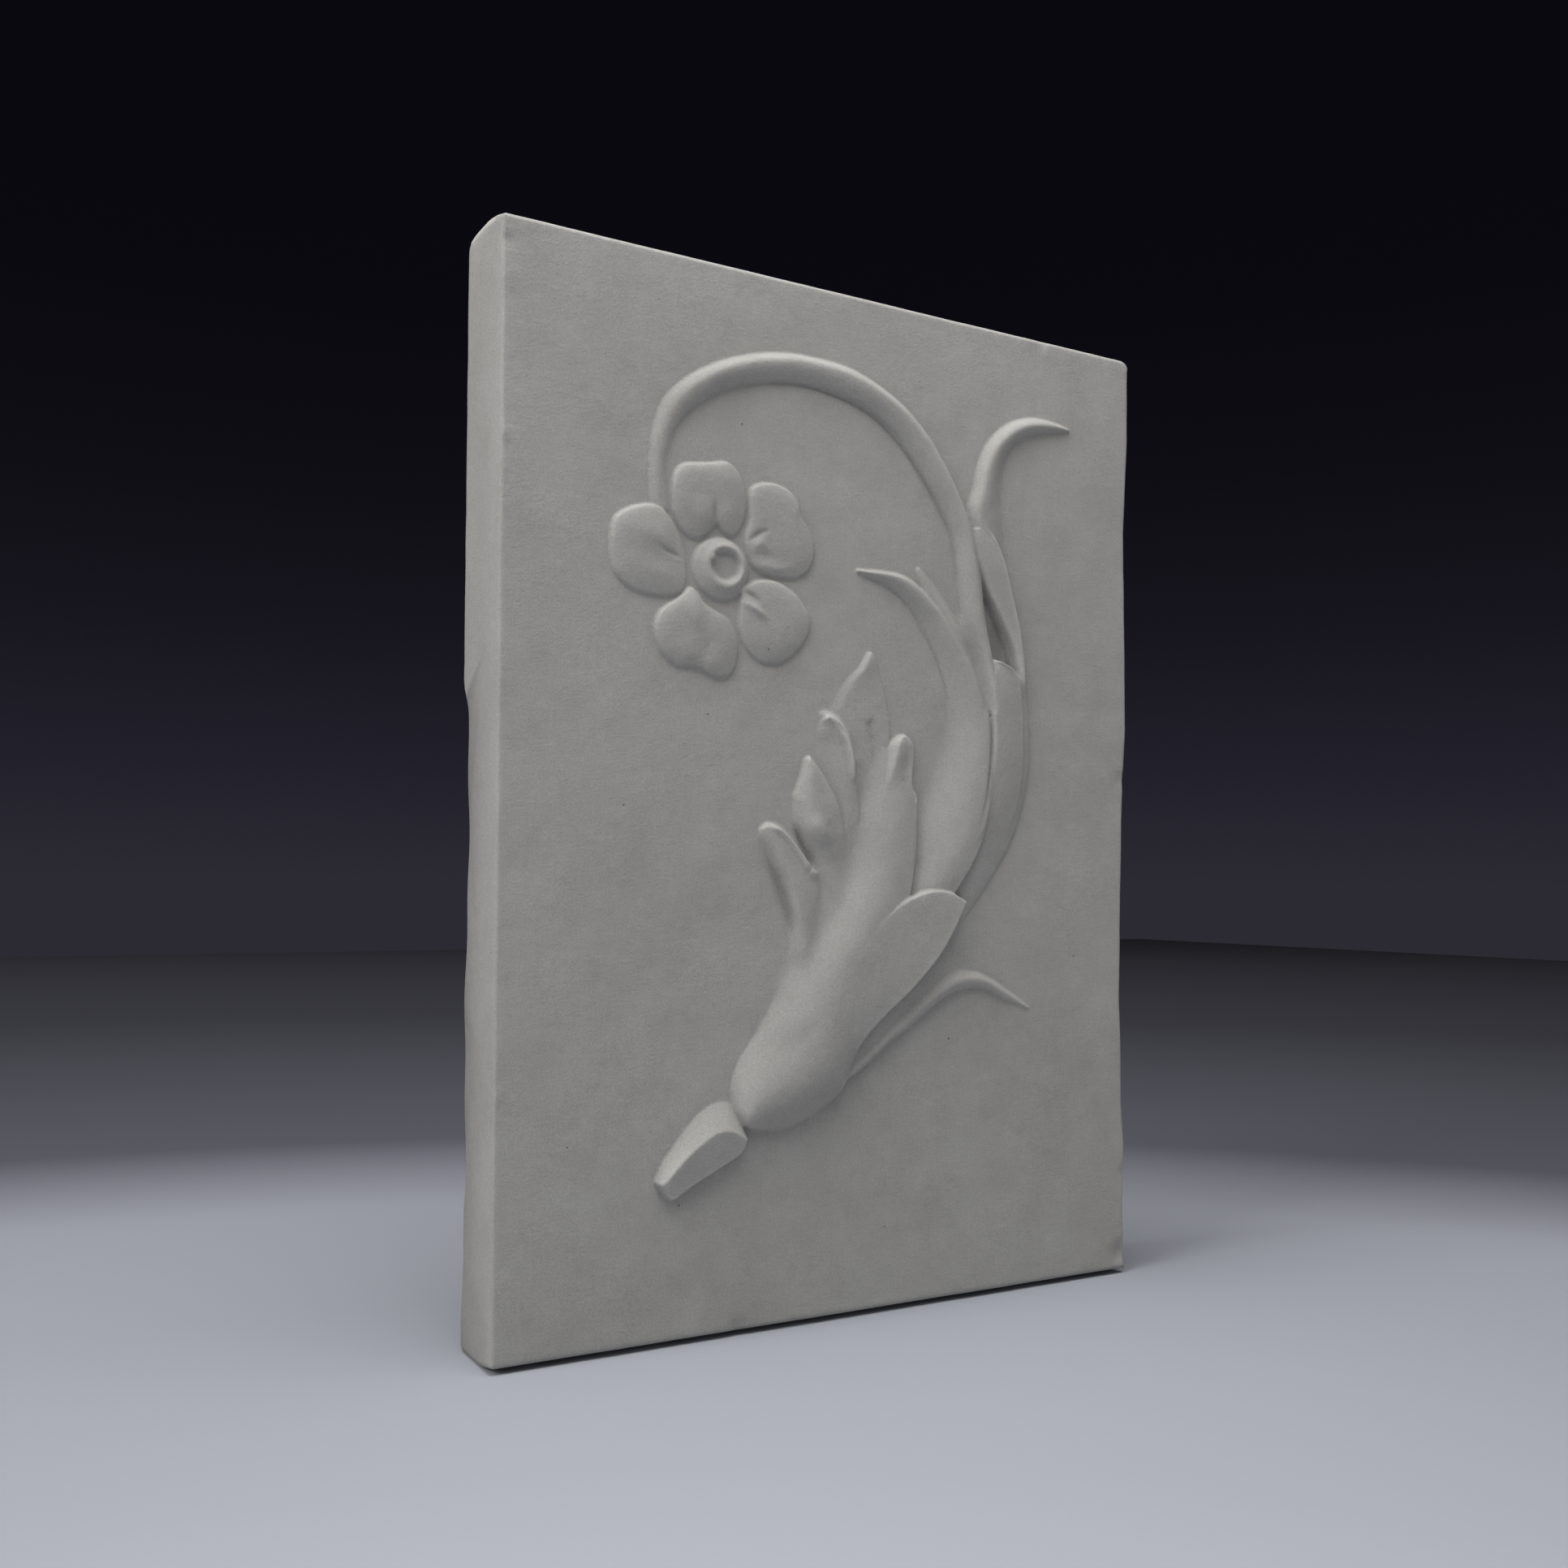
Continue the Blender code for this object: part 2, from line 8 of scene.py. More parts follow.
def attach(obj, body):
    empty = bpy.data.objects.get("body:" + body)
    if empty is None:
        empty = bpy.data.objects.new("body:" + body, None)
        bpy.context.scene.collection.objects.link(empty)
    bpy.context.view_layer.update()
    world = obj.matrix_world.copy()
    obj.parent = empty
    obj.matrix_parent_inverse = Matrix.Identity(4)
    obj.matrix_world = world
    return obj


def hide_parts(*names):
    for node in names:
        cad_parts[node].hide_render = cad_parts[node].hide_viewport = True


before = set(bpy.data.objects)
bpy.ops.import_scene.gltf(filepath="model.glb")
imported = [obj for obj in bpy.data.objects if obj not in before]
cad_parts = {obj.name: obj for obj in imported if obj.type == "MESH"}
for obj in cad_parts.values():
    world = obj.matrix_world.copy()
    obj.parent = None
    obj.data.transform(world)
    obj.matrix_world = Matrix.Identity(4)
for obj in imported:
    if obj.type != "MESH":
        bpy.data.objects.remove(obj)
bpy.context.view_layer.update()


# The plain face of the slab. It was cast face down on a flat bed and then scraped by hand, so it
# is flat to the eye and slowly wavy under raking light. The whole front is first drawn as a sheet
# of heights in millimetres over the slab's flat front: x from the middle, z from its lower edge.

FACE_WIDTH = 361.0
FACE_HEIGHT = 500.0
SHEET_PITCH = 0.5
SHEET_SPARE = 6.0

sheet_x = np.arange(-FACE_WIDTH / 2 - SHEET_SPARE, FACE_WIDTH / 2 + SHEET_SPARE, SHEET_PITCH)
sheet_z = np.arange(-SHEET_SPARE, FACE_HEIGHT + SHEET_SPARE, SHEET_PITCH)
relief = np.zeros((len(sheet_z), len(sheet_x)))


def clouds(cell, seed):
    """Soft random hills between -1 and 1 over the whole sheet, each about a cell wide in millimetres."""
    dice = np.random.default_rng(seed)
    span_z = (sheet_z - sheet_z[0]) / cell
    span_x = (sheet_x - sheet_x[0]) / cell
    lattice = dice.uniform(-1, 1, (int(span_z[-1]) + 3, int(span_x[-1]) + 3))
    row, column = span_z.astype(int), span_x.astype(int)
    up, over = span_z - row, span_x - column
    up, over = (up * up * (3 - 2 * up))[:, None], (over * over * (3 - 2 * over))[None, :]
    low = lattice[np.ix_(row, column)] * (1 - over) + lattice[np.ix_(row, column + 1)] * over
    high = lattice[np.ix_(row + 1, column)] * (1 - over) + lattice[np.ix_(row + 1, column + 1)] * over
    return low * (1 - up) + high * up


# The spray was modelled in clay as separate leaves laid over each other. Each one is drawn by its
# two edges, and by how high its crest stands between them from root to tip. Stamping it on the
# sheet keeps whatever is higher, where one leaf lies over another.

COVER_GAIN = 1.35
SKIN_STEP = 0.15
STROKE_STEP = 0.17
BOW_START = 0.24
POCKET_DEPTH = 2.4


def smooth(points, shares):
    """Points at shares of the way, 0 to 1, along a smooth curve through the drawn points."""
    drawn = np.array(points, float)
    place = np.asarray(shares) * (len(drawn) - 1)
    step = np.minimum(place.astype(int), len(drawn) - 2)
    part = (place - step)[:, None]
    a, b = drawn[np.maximum(step - 1, 0)], drawn[step]
    c, d = drawn[step + 1], drawn[np.minimum(step + 2, len(drawn) - 1)]
    return 0.5 * (2 * b + (c - a) * part + (2 * a - 5 * b + 4 * c - d) * part ** 2
                  + (3 * b - a - 3 * c + d) * part ** 3)


def stamp(x, z, height):
    """Presses a skin of points on the sheet: the height in each cell, and how much it is covered."""
    mid_x = (x[1:, 1:] + x[:-1, 1:] + x[1:, :-1] + x[:-1, :-1]) / 4
    mid_z = (z[1:, 1:] + z[:-1, 1:] + z[1:, :-1] + z[:-1, :-1]) / 4
    mid_height = (height[1:, 1:] + height[:-1, 1:] + height[1:, :-1] + height[:-1, :-1]) / 4
    along_x, along_z = x[1:, 1:] - x[:-1, :-1], z[1:, 1:] - z[:-1, :-1]
    across_x, across_z = x[:-1, 1:] - x[1:, :-1], z[:-1, 1:] - z[1:, :-1]
    area = np.abs(along_x * across_z - along_z * across_x).ravel() / 2 / SHEET_PITCH ** 2
    column = np.rint((mid_x.ravel() - sheet_x[0]) / SHEET_PITCH).astype(int)
    row = np.rint((mid_z.ravel() - sheet_z[0]) / SHEET_PITCH).astype(int)
    cell = row * len(sheet_x) + column
    covered = np.bincount(cell, area, relief.size).reshape(relief.shape)
    volume = np.bincount(cell, area * mid_height.ravel(), relief.size).reshape(relief.shape)
    return volume / np.maximum(covered, 1e-6), np.minimum(COVER_GAIN * covered, 1.0)


def lay(height, cover, blend=0.0):
    """Adds a stamped form where it stands higher than what is there, and may run smoothly into it."""
    global relief
    gap = height - relief
    lift = np.maximum(gap, 0)
    if blend:
        reach = np.clip(np.minimum(height, relief), 0.01, blend)
        lift = lift + np.maximum(reach - np.abs(gap), 0) ** 2 / (4 * reach)
    relief = relief + cover * lift


def rise(side, swell, rim):
    """The climb of a flank from its rim at 0 to its crest at 1: round, or straight where swell is 0."""
    side = np.clip(side, 0, 1)
    return rim + (1 - rim) * (np.sin(0.5 * np.pi * side) ** swell if swell else side)


def steps(values, shares):
    """One value, or several evenly spaced ones, at shares of the way along a form."""
    values = np.atleast_1d(values)
    return np.interp(shares, np.linspace(0, 1, len(values)), values)[:, None]


def blade(left, right, crest, swell=(0.7, 0.7), rims=(0.0, 0.0), blend=0.0, bow=0.0):
    """A leaf between its two edges, each drawn from root to tip.

    crest lists where its highest line lies, as a share of the way across, and how high it is. rims
    are the heights of its two edges as shares of the crest's, and bow arches its tip upwards.
    """
    length = max((len(edge) - 1) * np.hypot(*np.diff(np.array(edge, float), axis=0).T).max()
                 for edge in (left, right))
    shares = np.linspace(0, 1, int(length / SKIN_STEP) + 2)
    edge_left, edge_right = smooth(left, shares), smooth(right, shares)
    width = np.hypot(*(edge_left - edge_right).T).max()
    lean, height = smooth(crest, shares).T[:, :, None]
    across = np.linspace(0, 1, int(width / SKIN_STEP) + 2)[None, :]
    climb = np.where(across < lean, rise(across / lean, swell[0], steps(rims[0], shares)),
                     rise((1 - across) / (1 - lean), swell[1], steps(rims[1], shares)))
    x = edge_left[:, :1] * (1 - across) + edge_right[:, :1] * across
    z = edge_left[:, 1:] * (1 - across) + edge_right[:, 1:] * across
    arch = np.sin(np.pi * np.clip((across - BOW_START) / (1 - BOW_START), 0, 1)) ** 0.8
    z = z + bow * arch * shares[:, None] ** 5
    lay(*stamp(x, z, height * climb), blend)


def stroke(points, width, fade=0.18):
    """A soft stroke along a curve, as a mask from 0 to 1. It fades out over a share of it at each end."""
    path = np.array(points, float)
    length = np.hypot(*np.diff(path, axis=0).T).sum()
    shares = np.linspace(0, 1, int(length / STROKE_STEP) + 2)
    middle = smooth(path, shares)
    heading = np.gradient(middle, axis=0)
    heading /= np.hypot(*heading.T)[:, None]
    across = np.linspace(-1, 1, int(4 * width / STROKE_STEP) + 2)[None, :]
    x = middle[:, :1] - heading[:, 1:] * across * 2 * width
    z = middle[:, 1:] + heading[:, :1] * across * 2 * width
    ends = np.clip(np.minimum(shares, 1 - shares) / fade, 0, 1)[:, None]
    profile = np.exp(-(2 * across) ** 2) - math.exp(-4)
    height, cover = stamp(x, z, profile * np.sin(0.5 * np.pi * ends) ** 2)
    return height * cover


def score(points, width, depth, fade=0.18):
    """A stroke of the tool along a curve: a groove where depth is below 0, a bead above it."""
    global relief
    relief = relief + depth * stroke(points, width, fade)


# The stem is a rod, higher along its outer side, that climbs out of the leaves and arches over.
blade(
    [(84, 296), (81, 309), (76, 326), (69, 343), (65, 366), (61.5, 386), (52, 403), (40.5, 418), (28, 431),
     (13, 441.8), (-5, 448), (-27, 451), (-46, 449.2), (-62, 445), (-77, 438), (-90, 427.5), (-97.5, 417),
     (-101.5, 404), (-101.5, 392), (-100, 380)],
    [(90, 298), (89.3, 311), (86.5, 328), (82, 348), (79, 368), (73.5, 391), (65.5, 408.5), (56, 424),
     (44, 438.8), (26, 452.5), (0, 463), (-27.5, 465), (-46.5, 463), (-64, 458), (-80, 450.7),
     (-94, 441), (-103.5, 430), (-108.5, 415), (-110, 398), (-109, 380)],
    [(0.5, 5.6), (0.55, 5.2), (0.6, 4.9), (0.66, 4.8), (0.66, 4.7), (0.64, 4.4), (0.6, 3.8), (0.5, 1.8),
     (0.5, 1.2)],
    swell=(0.85, 0.8), rims=(0.2, 0.06))
score([(-66, 444.4), (-46, 449.4), (-27, 451), (-8, 448.8), (8, 444.6), (22.5, 436.2), (33, 427)], 0.7, -0.9)

# A hooked leaf springs from the stem to the right, with its ridge near its left edge.
blade(
    [(79, 366), (73.5, 382), (70, 401.5), (74, 414.5), (77.2, 427.5), (83.3, 439.8), (94.3, 450.5),
     (107.5, 456.6), (123, 458), (137.5, 455.5)],
    [(95, 366), (94.5, 382), (93.5, 400), (92.5, 412), (93.2, 424), (96.5, 434), (102.5, 442), (113, 448),
     (125.5, 451.3), (138, 454.2)],
    [(0.34, 3.4), (0.3, 4), (0.3, 4), (0.36, 4), (0.44, 3.9), (0.5, 3.2), (0.5, 1.4)],
    swell=(0.9, 1.15), rims=(0.04, 0.0))

# A small bract wraps the foot of the hooked leaf, flat with a sharp turned edge.
blade(
    [(73, 393), (74.5, 381), (77, 373), (81.5, 362), (86.5, 354.5), (91.5, 346.5), (96.3, 338.5),
     (100, 330.5), (102.5, 321)],
    [(81, 394), (89, 386), (94.8, 373), (98.3, 361), (101.4, 350.5), (104, 340.5), (106, 330.5),
     (107.2, 320), (107.6, 311)],
    [(0.3, 4.2), (0.5, 4.8), (0.72, 4.9), (0.78, 4.9), (0.78, 4.8), (0.7, 4.6), (0.6, 4.4)],
    swell=(1, 0.8), rims=(0.8, 0.62))

# The big outer leaf of the right side, and the bract that is tucked between it and the stem.
blade(
    [(50, 184), (62, 206), (73, 232), (81, 262), (84, 284), (89, 300), (96, 312), (103.3, 323)],
    [(60, 181), (84, 208), (103, 237), (111, 268), (111, 290), (109.8, 302), (108.2, 312), (106.6, 323)],
    [(0.4, 1.2), (0.4, 1.9), (0.4, 2.7), (0.4, 3.1), (0.4, 3.3), (0.5, 3.5), (0.6, 3.8), (0.8, 4.2)],
    swell=(0.9, 0.6), rims=(0.3, (0, 0, 0.1, 0.25, 0.4, 0.5, 0.6)))
blade(
    [(57, 208), (67, 222), (75, 237), (80.5, 253), (83.2, 270), (83.8, 286), (83.2, 302), (82.6, 314),
     (83.6, 322.5), (86.6, 326.6)],
    [(76, 204), (86, 218), (95, 233), (102, 249), (105.6, 266), (106, 284), (105, 299), (103.8, 311.5),
     (101.6, 318.6), (96.8, 323.4)],
    [(0.3, 2), (0.2, 3.1), (0.18, 4), (0.16, 4.7), (0.16, 5.3), (0.16, 5.6), (0.18, 5.6), (0.2, 5.5),
     (0.24, 5.2), (0.4, 4.8)],
    swell=(0.8, 1.1),
    rims=((0.8, 0.8, 0.7, 0.65, 0.65, 0.75, 0.8), (0.3, 0.4, 0.55, 0.6, 0.66, 0.76, 0.8)), blend=0.8)

# A second tip shows behind the broad middle blade, whose own tip curls to the left.
blade(
    [(66, 308), (58.5, 330), (50.5, 345), (43.5, 356), (38.4, 368)],
    [(77, 306), (71.5, 334), (61, 349), (49.5, 362), (40, 370)],
    [(0.4, 2.2), (0.4, 3.8), (0.42, 2.9), (0.45, 1.7), (0.5, 0.7)],
    swell=(0.9, 1.0), rims=((0.8, 0.8, 0.8, 0.4), 0.05), blend=0.8)
blade(
    [(24, 196), (28, 212), (32, 227), (37.5, 241), (43.5, 253), (50, 265), (56, 278), (58.8, 292),
     (56, 313), (47, 333), (34.5, 349), (20, 358.3), (2.5, 363.3)],
    [(55, 196), (63, 208), (71, 219), (77.5, 231), (81.5, 244), (83.4, 258), (84.2, 274), (83, 294),
     (77, 314), (65.5, 332.5), (51.5, 350), (31, 364.2), (3.2, 364.6)],
    [(0.6, 6.2), (0.66, 6.6), (0.74, 6.8), (0.8, 6.6), (0.84, 6.3), (0.86, 5.9), (0.86, 5.4),
     (0.82, 4.9), (0.78, 4.3), (0.7, 3.7), (0.6, 1.6)],
    swell=(1.25, 0.9),
    rims=((0.0, 0.0, 0.0, 0.0, 0.06, 0.18, 0.24), (0.86, 0.86, 0.86, 0.84, 0.7, 0.4, 0.05)))
score([(4, 362), (15, 359.6), (24, 356), (34.5, 348.4), (42, 338.6), (49.5, 328), (55, 316), (58, 306),
       (59, 294)],
      0.6, -0.4)

# The low foot that all the lobed leaves spring from.
blade(
    [(-34, 150), (-30, 176), (-27.5, 198), (-21, 220), (-12, 246)],
    [(18, 150), (36, 176), (41, 198), (39, 220), (30, 246)],
    [(0.6, 5.4), (0.6, 4.6), (0.6, 4), (0.6, 3.2), (0.55, 1.8)],
    swell=(0.7, 0.6), rims=(0.1, 0.3))

# The leaf in the middle at the back, with the raised rim along its left edge.
blade(
    [(-13.5, 246), (-14.6, 262), (-15, 278), (-13.4, 291.5), (-9.8, 299.1), (-6.8, 304.1), (-4, 308.3),
     (-0.1, 312.2), (3.1, 315.1), (6, 319), (9, 323.4)],
    [(22, 246), (22.6, 262), (22.8, 278), (22.4, 289), (21.5, 295.4), (20.1, 301.4), (18.1, 308),
     (16.2, 313.3), (15, 317.4), (13.6, 321.2), (11.8, 324)],
    [(0.3, 1), (0.3, 1.1), (0.26, 1.1), (0.22, 1), (0.22, 1), (0.24, 1.1), (0.28, 1.2), (0.34, 1.4),
     (0.42, 1.7), (0.5, 1.9), (0.5, 1.4)],
    swell=(1.25, 0.8), rims=(0, (0.5, 0.6, 0.6, 0.5, 0.4)))

# The broad ribbed leaf that runs up out of the sheath.
blade(
    [(-57, 130), (-50.5, 141), (-43.6, 152), (-38.4, 162.2), (-34, 171), (-28.8, 179.4), (-22.8, 187.6),
     (-17, 196), (-11.2, 205), (-7, 214), (-3.4, 223.4), (-0.4, 233), (2, 242.6), (4.2, 251.4), (7, 263),
     (12, 276)],
    [(-14, 130), (-4, 139), (6, 149), (14, 160), (21, 172), (26.5, 184), (30.3, 195.6), (33, 206.4),
     (35.1, 215.5), (36.5, 222.8), (37.4, 230.4), (37.8, 238.5), (38.4, 246.5), (38, 253), (34, 265),
     (24, 277)],
    [(0.55, 6), (0.55, 7.4), (0.55, 8.5), (0.56, 9), (0.57, 9.1), (0.59, 8.9), (0.61, 8.6), (0.62, 8.2),
     (0.62, 7.8), (0.62, 7.3), (0.62, 6.8), (0.61, 6.3), (0.61, 5.7), (0.61, 5), (0.63, 3.2), (0.6, 1)],
    swell=(1.1, 1.0),
    rims=((0, 0, 0, 0, 0, 0.1, 0.2, 0.25, 0.1, 0), (0.8, 0.82, 0.78, 0.76, 0.72, 0.5, 0.3)), blend=1.4)
score([(36.6, 248), (36.4, 238), (35.8, 228), (34.4, 217), (32, 205)], 0.8, -0.5, fade=0.4)

# Its right lobe: a curled tip, with a bright slope at its left and a shallow hollow inside.
blade(
    [(13, 238), (15.2, 245.5), (16.7, 253), (17.5, 258.7), (18.8, 264.2), (20.4, 269.6), (21.9, 275.1),
     (23.6, 280.2), (28, 283.6)],
    [(37, 239), (36.6, 246), (35.6, 253), (35.2, 258.5), (35.5, 264), (36.2, 270), (36.5, 275.5),
     (35.3, 280.4), (32, 284)],
    [(0.24, 3.6), (0.22, 4), (0.2, 4.2), (0.2, 4.2), (0.22, 4.2), (0.25, 4.2), (0.28, 4.1), (0.32, 3.9),
     (0.4, 3)],
    swell=(1.0, 1.0), rims=((0.8, 0.7, 0.5, 0.3, 0.2), (0.85, 0.84, 0.8, 0.7, 0.6)), blend=0.6)
score([(32, 281), (31.4, 273), (30, 264), (28, 256)], 3.6, -0.7, fade=0.5)
score([(25.5, 281), (28.5, 283.2), (32, 283.2), (34.8, 280.8), (36, 277)], 0.8, 0.45)
score([(36, 256.6), (37.8, 253), (37.9, 248)], 1.1, 1.2, fade=0.35)

# The upper left lobe, whose rim is rolled over to the right round a hollow.
blade(
    [(-12.5, 226), (-16.3, 242), (-18.8, 256), (-20, 268), (-19.6, 279), (-17.4, 288.4)],
    [(3.6, 226), (4.6, 242), (3.2, 254), (0.8, 266), (-3.6, 280), (-14.5, 291)],
    [(0.8, 2.8), (0.86, 3.2), (0.9, 3.3), (0.9, 3.2), (0.88, 2.9), (0.6, 2.2)],
    swell=(1.6, 0.7), rims=((0, 0, 0, 0, 0, 0.2), (0.4, 0.4, 0.4, 0.5)), blend=0.5)
score([(-18.6, 290.2), (-16.3, 291), (-13.2, 290.5), (-9.4, 288.2), (-5.8, 284.5), (-3.2, 279.8),
       (-1.4, 274.5), (-0.1, 269), (1, 262), (2.4, 252)], 2.1, 2.8, fade=0.25)

# The middle left lobe, a bud with a bulge low down.
blade(
    [(-18, 182), (-19, 196), (-20, 209), (-22, 219), (-26, 227.5), (-30.6, 236), (-32, 245), (-31, 253.5),
     (-28.2, 262), (-26.2, 269.4)],
    [(0, 182), (-3, 196), (-4, 208), (-3.6, 220), (-5.2, 235), (-8.6, 247.5), (-13.4, 257), (-18.4, 264.8),
     (-23.6, 270.8)],
    [(0.6, 2.8), (0.6, 3), (0.58, 3.1), (0.52, 3.3), (0.42, 4.7), (0.42, 5), (0.44, 4.4), (0.5, 3.6),
     (0.5, 2.4)],
    swell=(1.0, 0.8), rims=((0.1, 0.1, 0.1, 0.1, 0.1, 0.2, 0.3, 0.3), (0.8, 0.8, 0.75, 0.7, 0.6, 0.5)))
score([(-25, 244), (-22, 238), (-17.6, 234), (-13, 235.5)], 5.4, 1.4, fade=0.4)
score([(-31.4, 239), (-28.6, 231.5), (-25, 225.5), (-21.6, 220), (-20.2, 215)], 1.7, -1.3, fade=0.3)
score([(-30, 247), (-31.6, 250.8), (-30.8, 254.5)], 1.3, 0.8, fade=0.4)

# The lower left lobe, with a rolled upper edge that ends in a knob.
blade(
    [(-22, 150), (-28, 163), (-32.5, 175), (-33.6, 187.7), (-36.3, 197), (-40, 208), (-44, 217.5),
     (-47.8, 226), (-50.4, 231.5), (-50.7, 235)],
    [(-8, 152), (-15, 166), (-19, 178), (-19.6, 190), (-19.2, 202), (-20.4, 213), (-28, 222.5), (-35, 230.6),
     (-41.6, 236.4), (-47.2, 238)],
    [(0.4, 2.8), (0.38, 3.4), (0.34, 4), (0.32, 4.4), (0.32, 4.6), (0.33, 4.5), (0.36, 4.2),
     (0.44, 3.8), (0.5, 3.1), (0.5, 2.4)],
    swell=(1.0, 0.9),
    rims=((0.1, 0.1, 0.05, 0.05, 0.05, 0.1, 0.2, 0.5), (0.2, 0.3, 0.4, 0.6, 0.7, 0.7, 0.6, 0.5)))
score([(-48.4, 235.2), (-45, 236.2), (-40.9, 234.8), (-36.9, 231.7), (-33.1, 227.8), (-29.9, 223.7),
       (-27, 219.5), (-24, 216), (-20.2, 213.6)], 1.8, 1.9, fade=0.25)
score([(-24.6, 216.4), (-21.6, 214.2), (-18.8, 213)], 1.9, 1.5, fade=0.4)

# The sheath: a swollen bulb that wraps all the leaves and opens in a slanted mouth with a lip.
blade(
    [(-61, 97), (-64.8, 106), (-64.4, 117), (-60.5, 126.5), (-54.2, 135.2), (-47, 144.3), (-39, 153.7),
     (-30.5, 163), (-22, 172), (-8, 181)],
    [(-57, 94), (-54, 92.8), (-50, 92.2), (-45, 91.9), (-40, 92.1), (-34, 93), (-28, 94.8), (-22, 97),
     (-15.5, 100.3), (-9, 104.8), (-3.5, 110.8), (-1, 121), (5, 132.5), (17, 144.3), (33, 157),
     (52.5, 176.5), (67, 200.5)],
    [(0.5, 3), (0.5, 6.2), (0.5, 7.7), (0.52, 8.5), (0.56, 9), (0.6, 9.3), (0.6, 9.4), (0.52, 9.2),
     (0.4, 8.8), (0.26, 8.2)],
    swell=(1.0, 0.7), rims=(0, (0, 0, 0, 0, 0, 0.3, 0.75, 0.9, 0.94)), blend=1.2, bow=12.0)

# A low leaf lies below the sheath, with a channel between the two.
blade(
    [(-22, 118), (0, 142), (26, 166), (55, 190)],
    [(-1, 114.5), (17, 128.5), (44, 147), (66, 162)],
    [(0.5, 3.9), (0.5, 3.4), (0.5, 2.4), (0.5, 0.5)],
    swell=(0.6, 0.8), rims=(0.96, 0.6))
blade(
    [(-4, 118), (4, 124.8), (12, 131), (23, 140), (35, 149), (47, 157.2), (56, 162.2), (64.5, 164.9),
     (73.1, 165), (81.8, 163), (95, 156.6), (113, 145.4)],
    [(-1.5, 113.5), (6, 117.8), (14, 123.4), (25, 131.5), (36, 138.2), (46, 144.8), (55.1, 150.9),
     (63.5, 154.9), (72.1, 156.4), (83, 155.5), (96.3, 149.5), (113, 144)],
    [(0.55, 3.6), (0.55, 3.7), (0.55, 3.6), (0.54, 3.5), (0.54, 3.4), (0.5, 3.3), (0.48, 3),
     (0.46, 2.3), (0.5, 0.8)],
    swell=(1.0, 0.9), rims=((0.4, 0.4, 0.25, 0.12, 0.06), 0.4))

# The cut end of the stalk below the sheath, trimmed with a knife in flat facets.
blade(
    [(-103.8, 73.5), (-100.3, 80.5), (-94.8, 87.6), (-89, 94.6), (-83, 100.7), (-77, 105),
     (-71.5, 106.8), (-66, 106), (-61.5, 101), (-58.5, 93.5)],
    [(-100.5, 69), (-96, 64.6), (-91, 67), (-84.5, 70.8), (-77, 74.4), (-70, 77.8), (-64, 80.8), (-60, 83.6),
     (-58, 87), (-57.3, 90.5)],
    [(0.36, 4.8), (0.32, 6), (0.32, 6.3), (0.35, 6.4), (0.37, 6.5), (0.4, 6.6), (0.48, 6.6),
     (0.64, 6.2), (0.84, 5), (0.9, 2.5)],
    swell=(0, 0), rims=(0.06, (0.6, 0.6, 0.6, 0.6, 0.7)))

# The open pocket between the stem, the hooked leaf and the bract is dug out below the ground. A
# crease runs down from it, beside the bract's bright edge.
along = np.linspace(0, 1, 300)
near = smooth([(81.4, 359), (82.4, 351), (84.2, 342), (85.8, 334), (86.8, 327.6)], along)
far = smooth([(82.2, 359), (88.4, 349), (93.6, 340), (97.4, 332), (100.4, 321.6)], along)
across = np.linspace(0, 1, 150)[None, :]
dug, cover = stamp(
    near[:, :1] * (1 - across) + far[:, :1] * across,
    near[:, 1:] * (1 - across) + far[:, 1:] * across,
    np.full((along.size, across.size), POCKET_DEPTH))
relief = relief - dug * cover
score([(83.2, 304), (83.7, 291), (83.2, 278), (82, 266), (79.6, 252), (75.5, 240)], 0.75, -1.2, fade=0.4)
score([(83.2, 322), (86.2, 325.4), (90.6, 325.4), (95.4, 323.4), (99.6, 319.8), (102.6, 313),
       (103.6, 304)], 1.0, 1.6, fade=0.45)
score([(84.8, 320), (84.8, 304), (85.6, 290), (85.4, 274), (83.6, 258), (79.6, 243), (72, 230)],
      1.1, 0.4, fade=0.2)
score([(1, 242), (0, 226), (-1.8, 212), (-6, 200)], 2.4, -0.5, fade=0.4)
score([(79.6, 393.2), (84.6, 389.8), (89, 384.6), (93.4, 373), (96.9, 361), (100, 350.5),
       (102.6, 340.5), (104.6, 330)],
      0.9, 0.7, fade=0.2)


# The flower: five petals pressed on like small cushions round a button, which has a ring round a
# dimple on top. They were modelled last, over the end of the stem.

FLOWER_MIDDLE = (-73.0, 357.0)
FLOWER_REACH = 40.0
RIM_HEIGHT = 1.0
LONGEST_OUTLINE = 150.0
LONGEST_REACH = 24.0
UPPER_LEFT = (-0.45, 0.9)
SOFT_SLOPE = 2.8
STEEP_SLOPE = 5


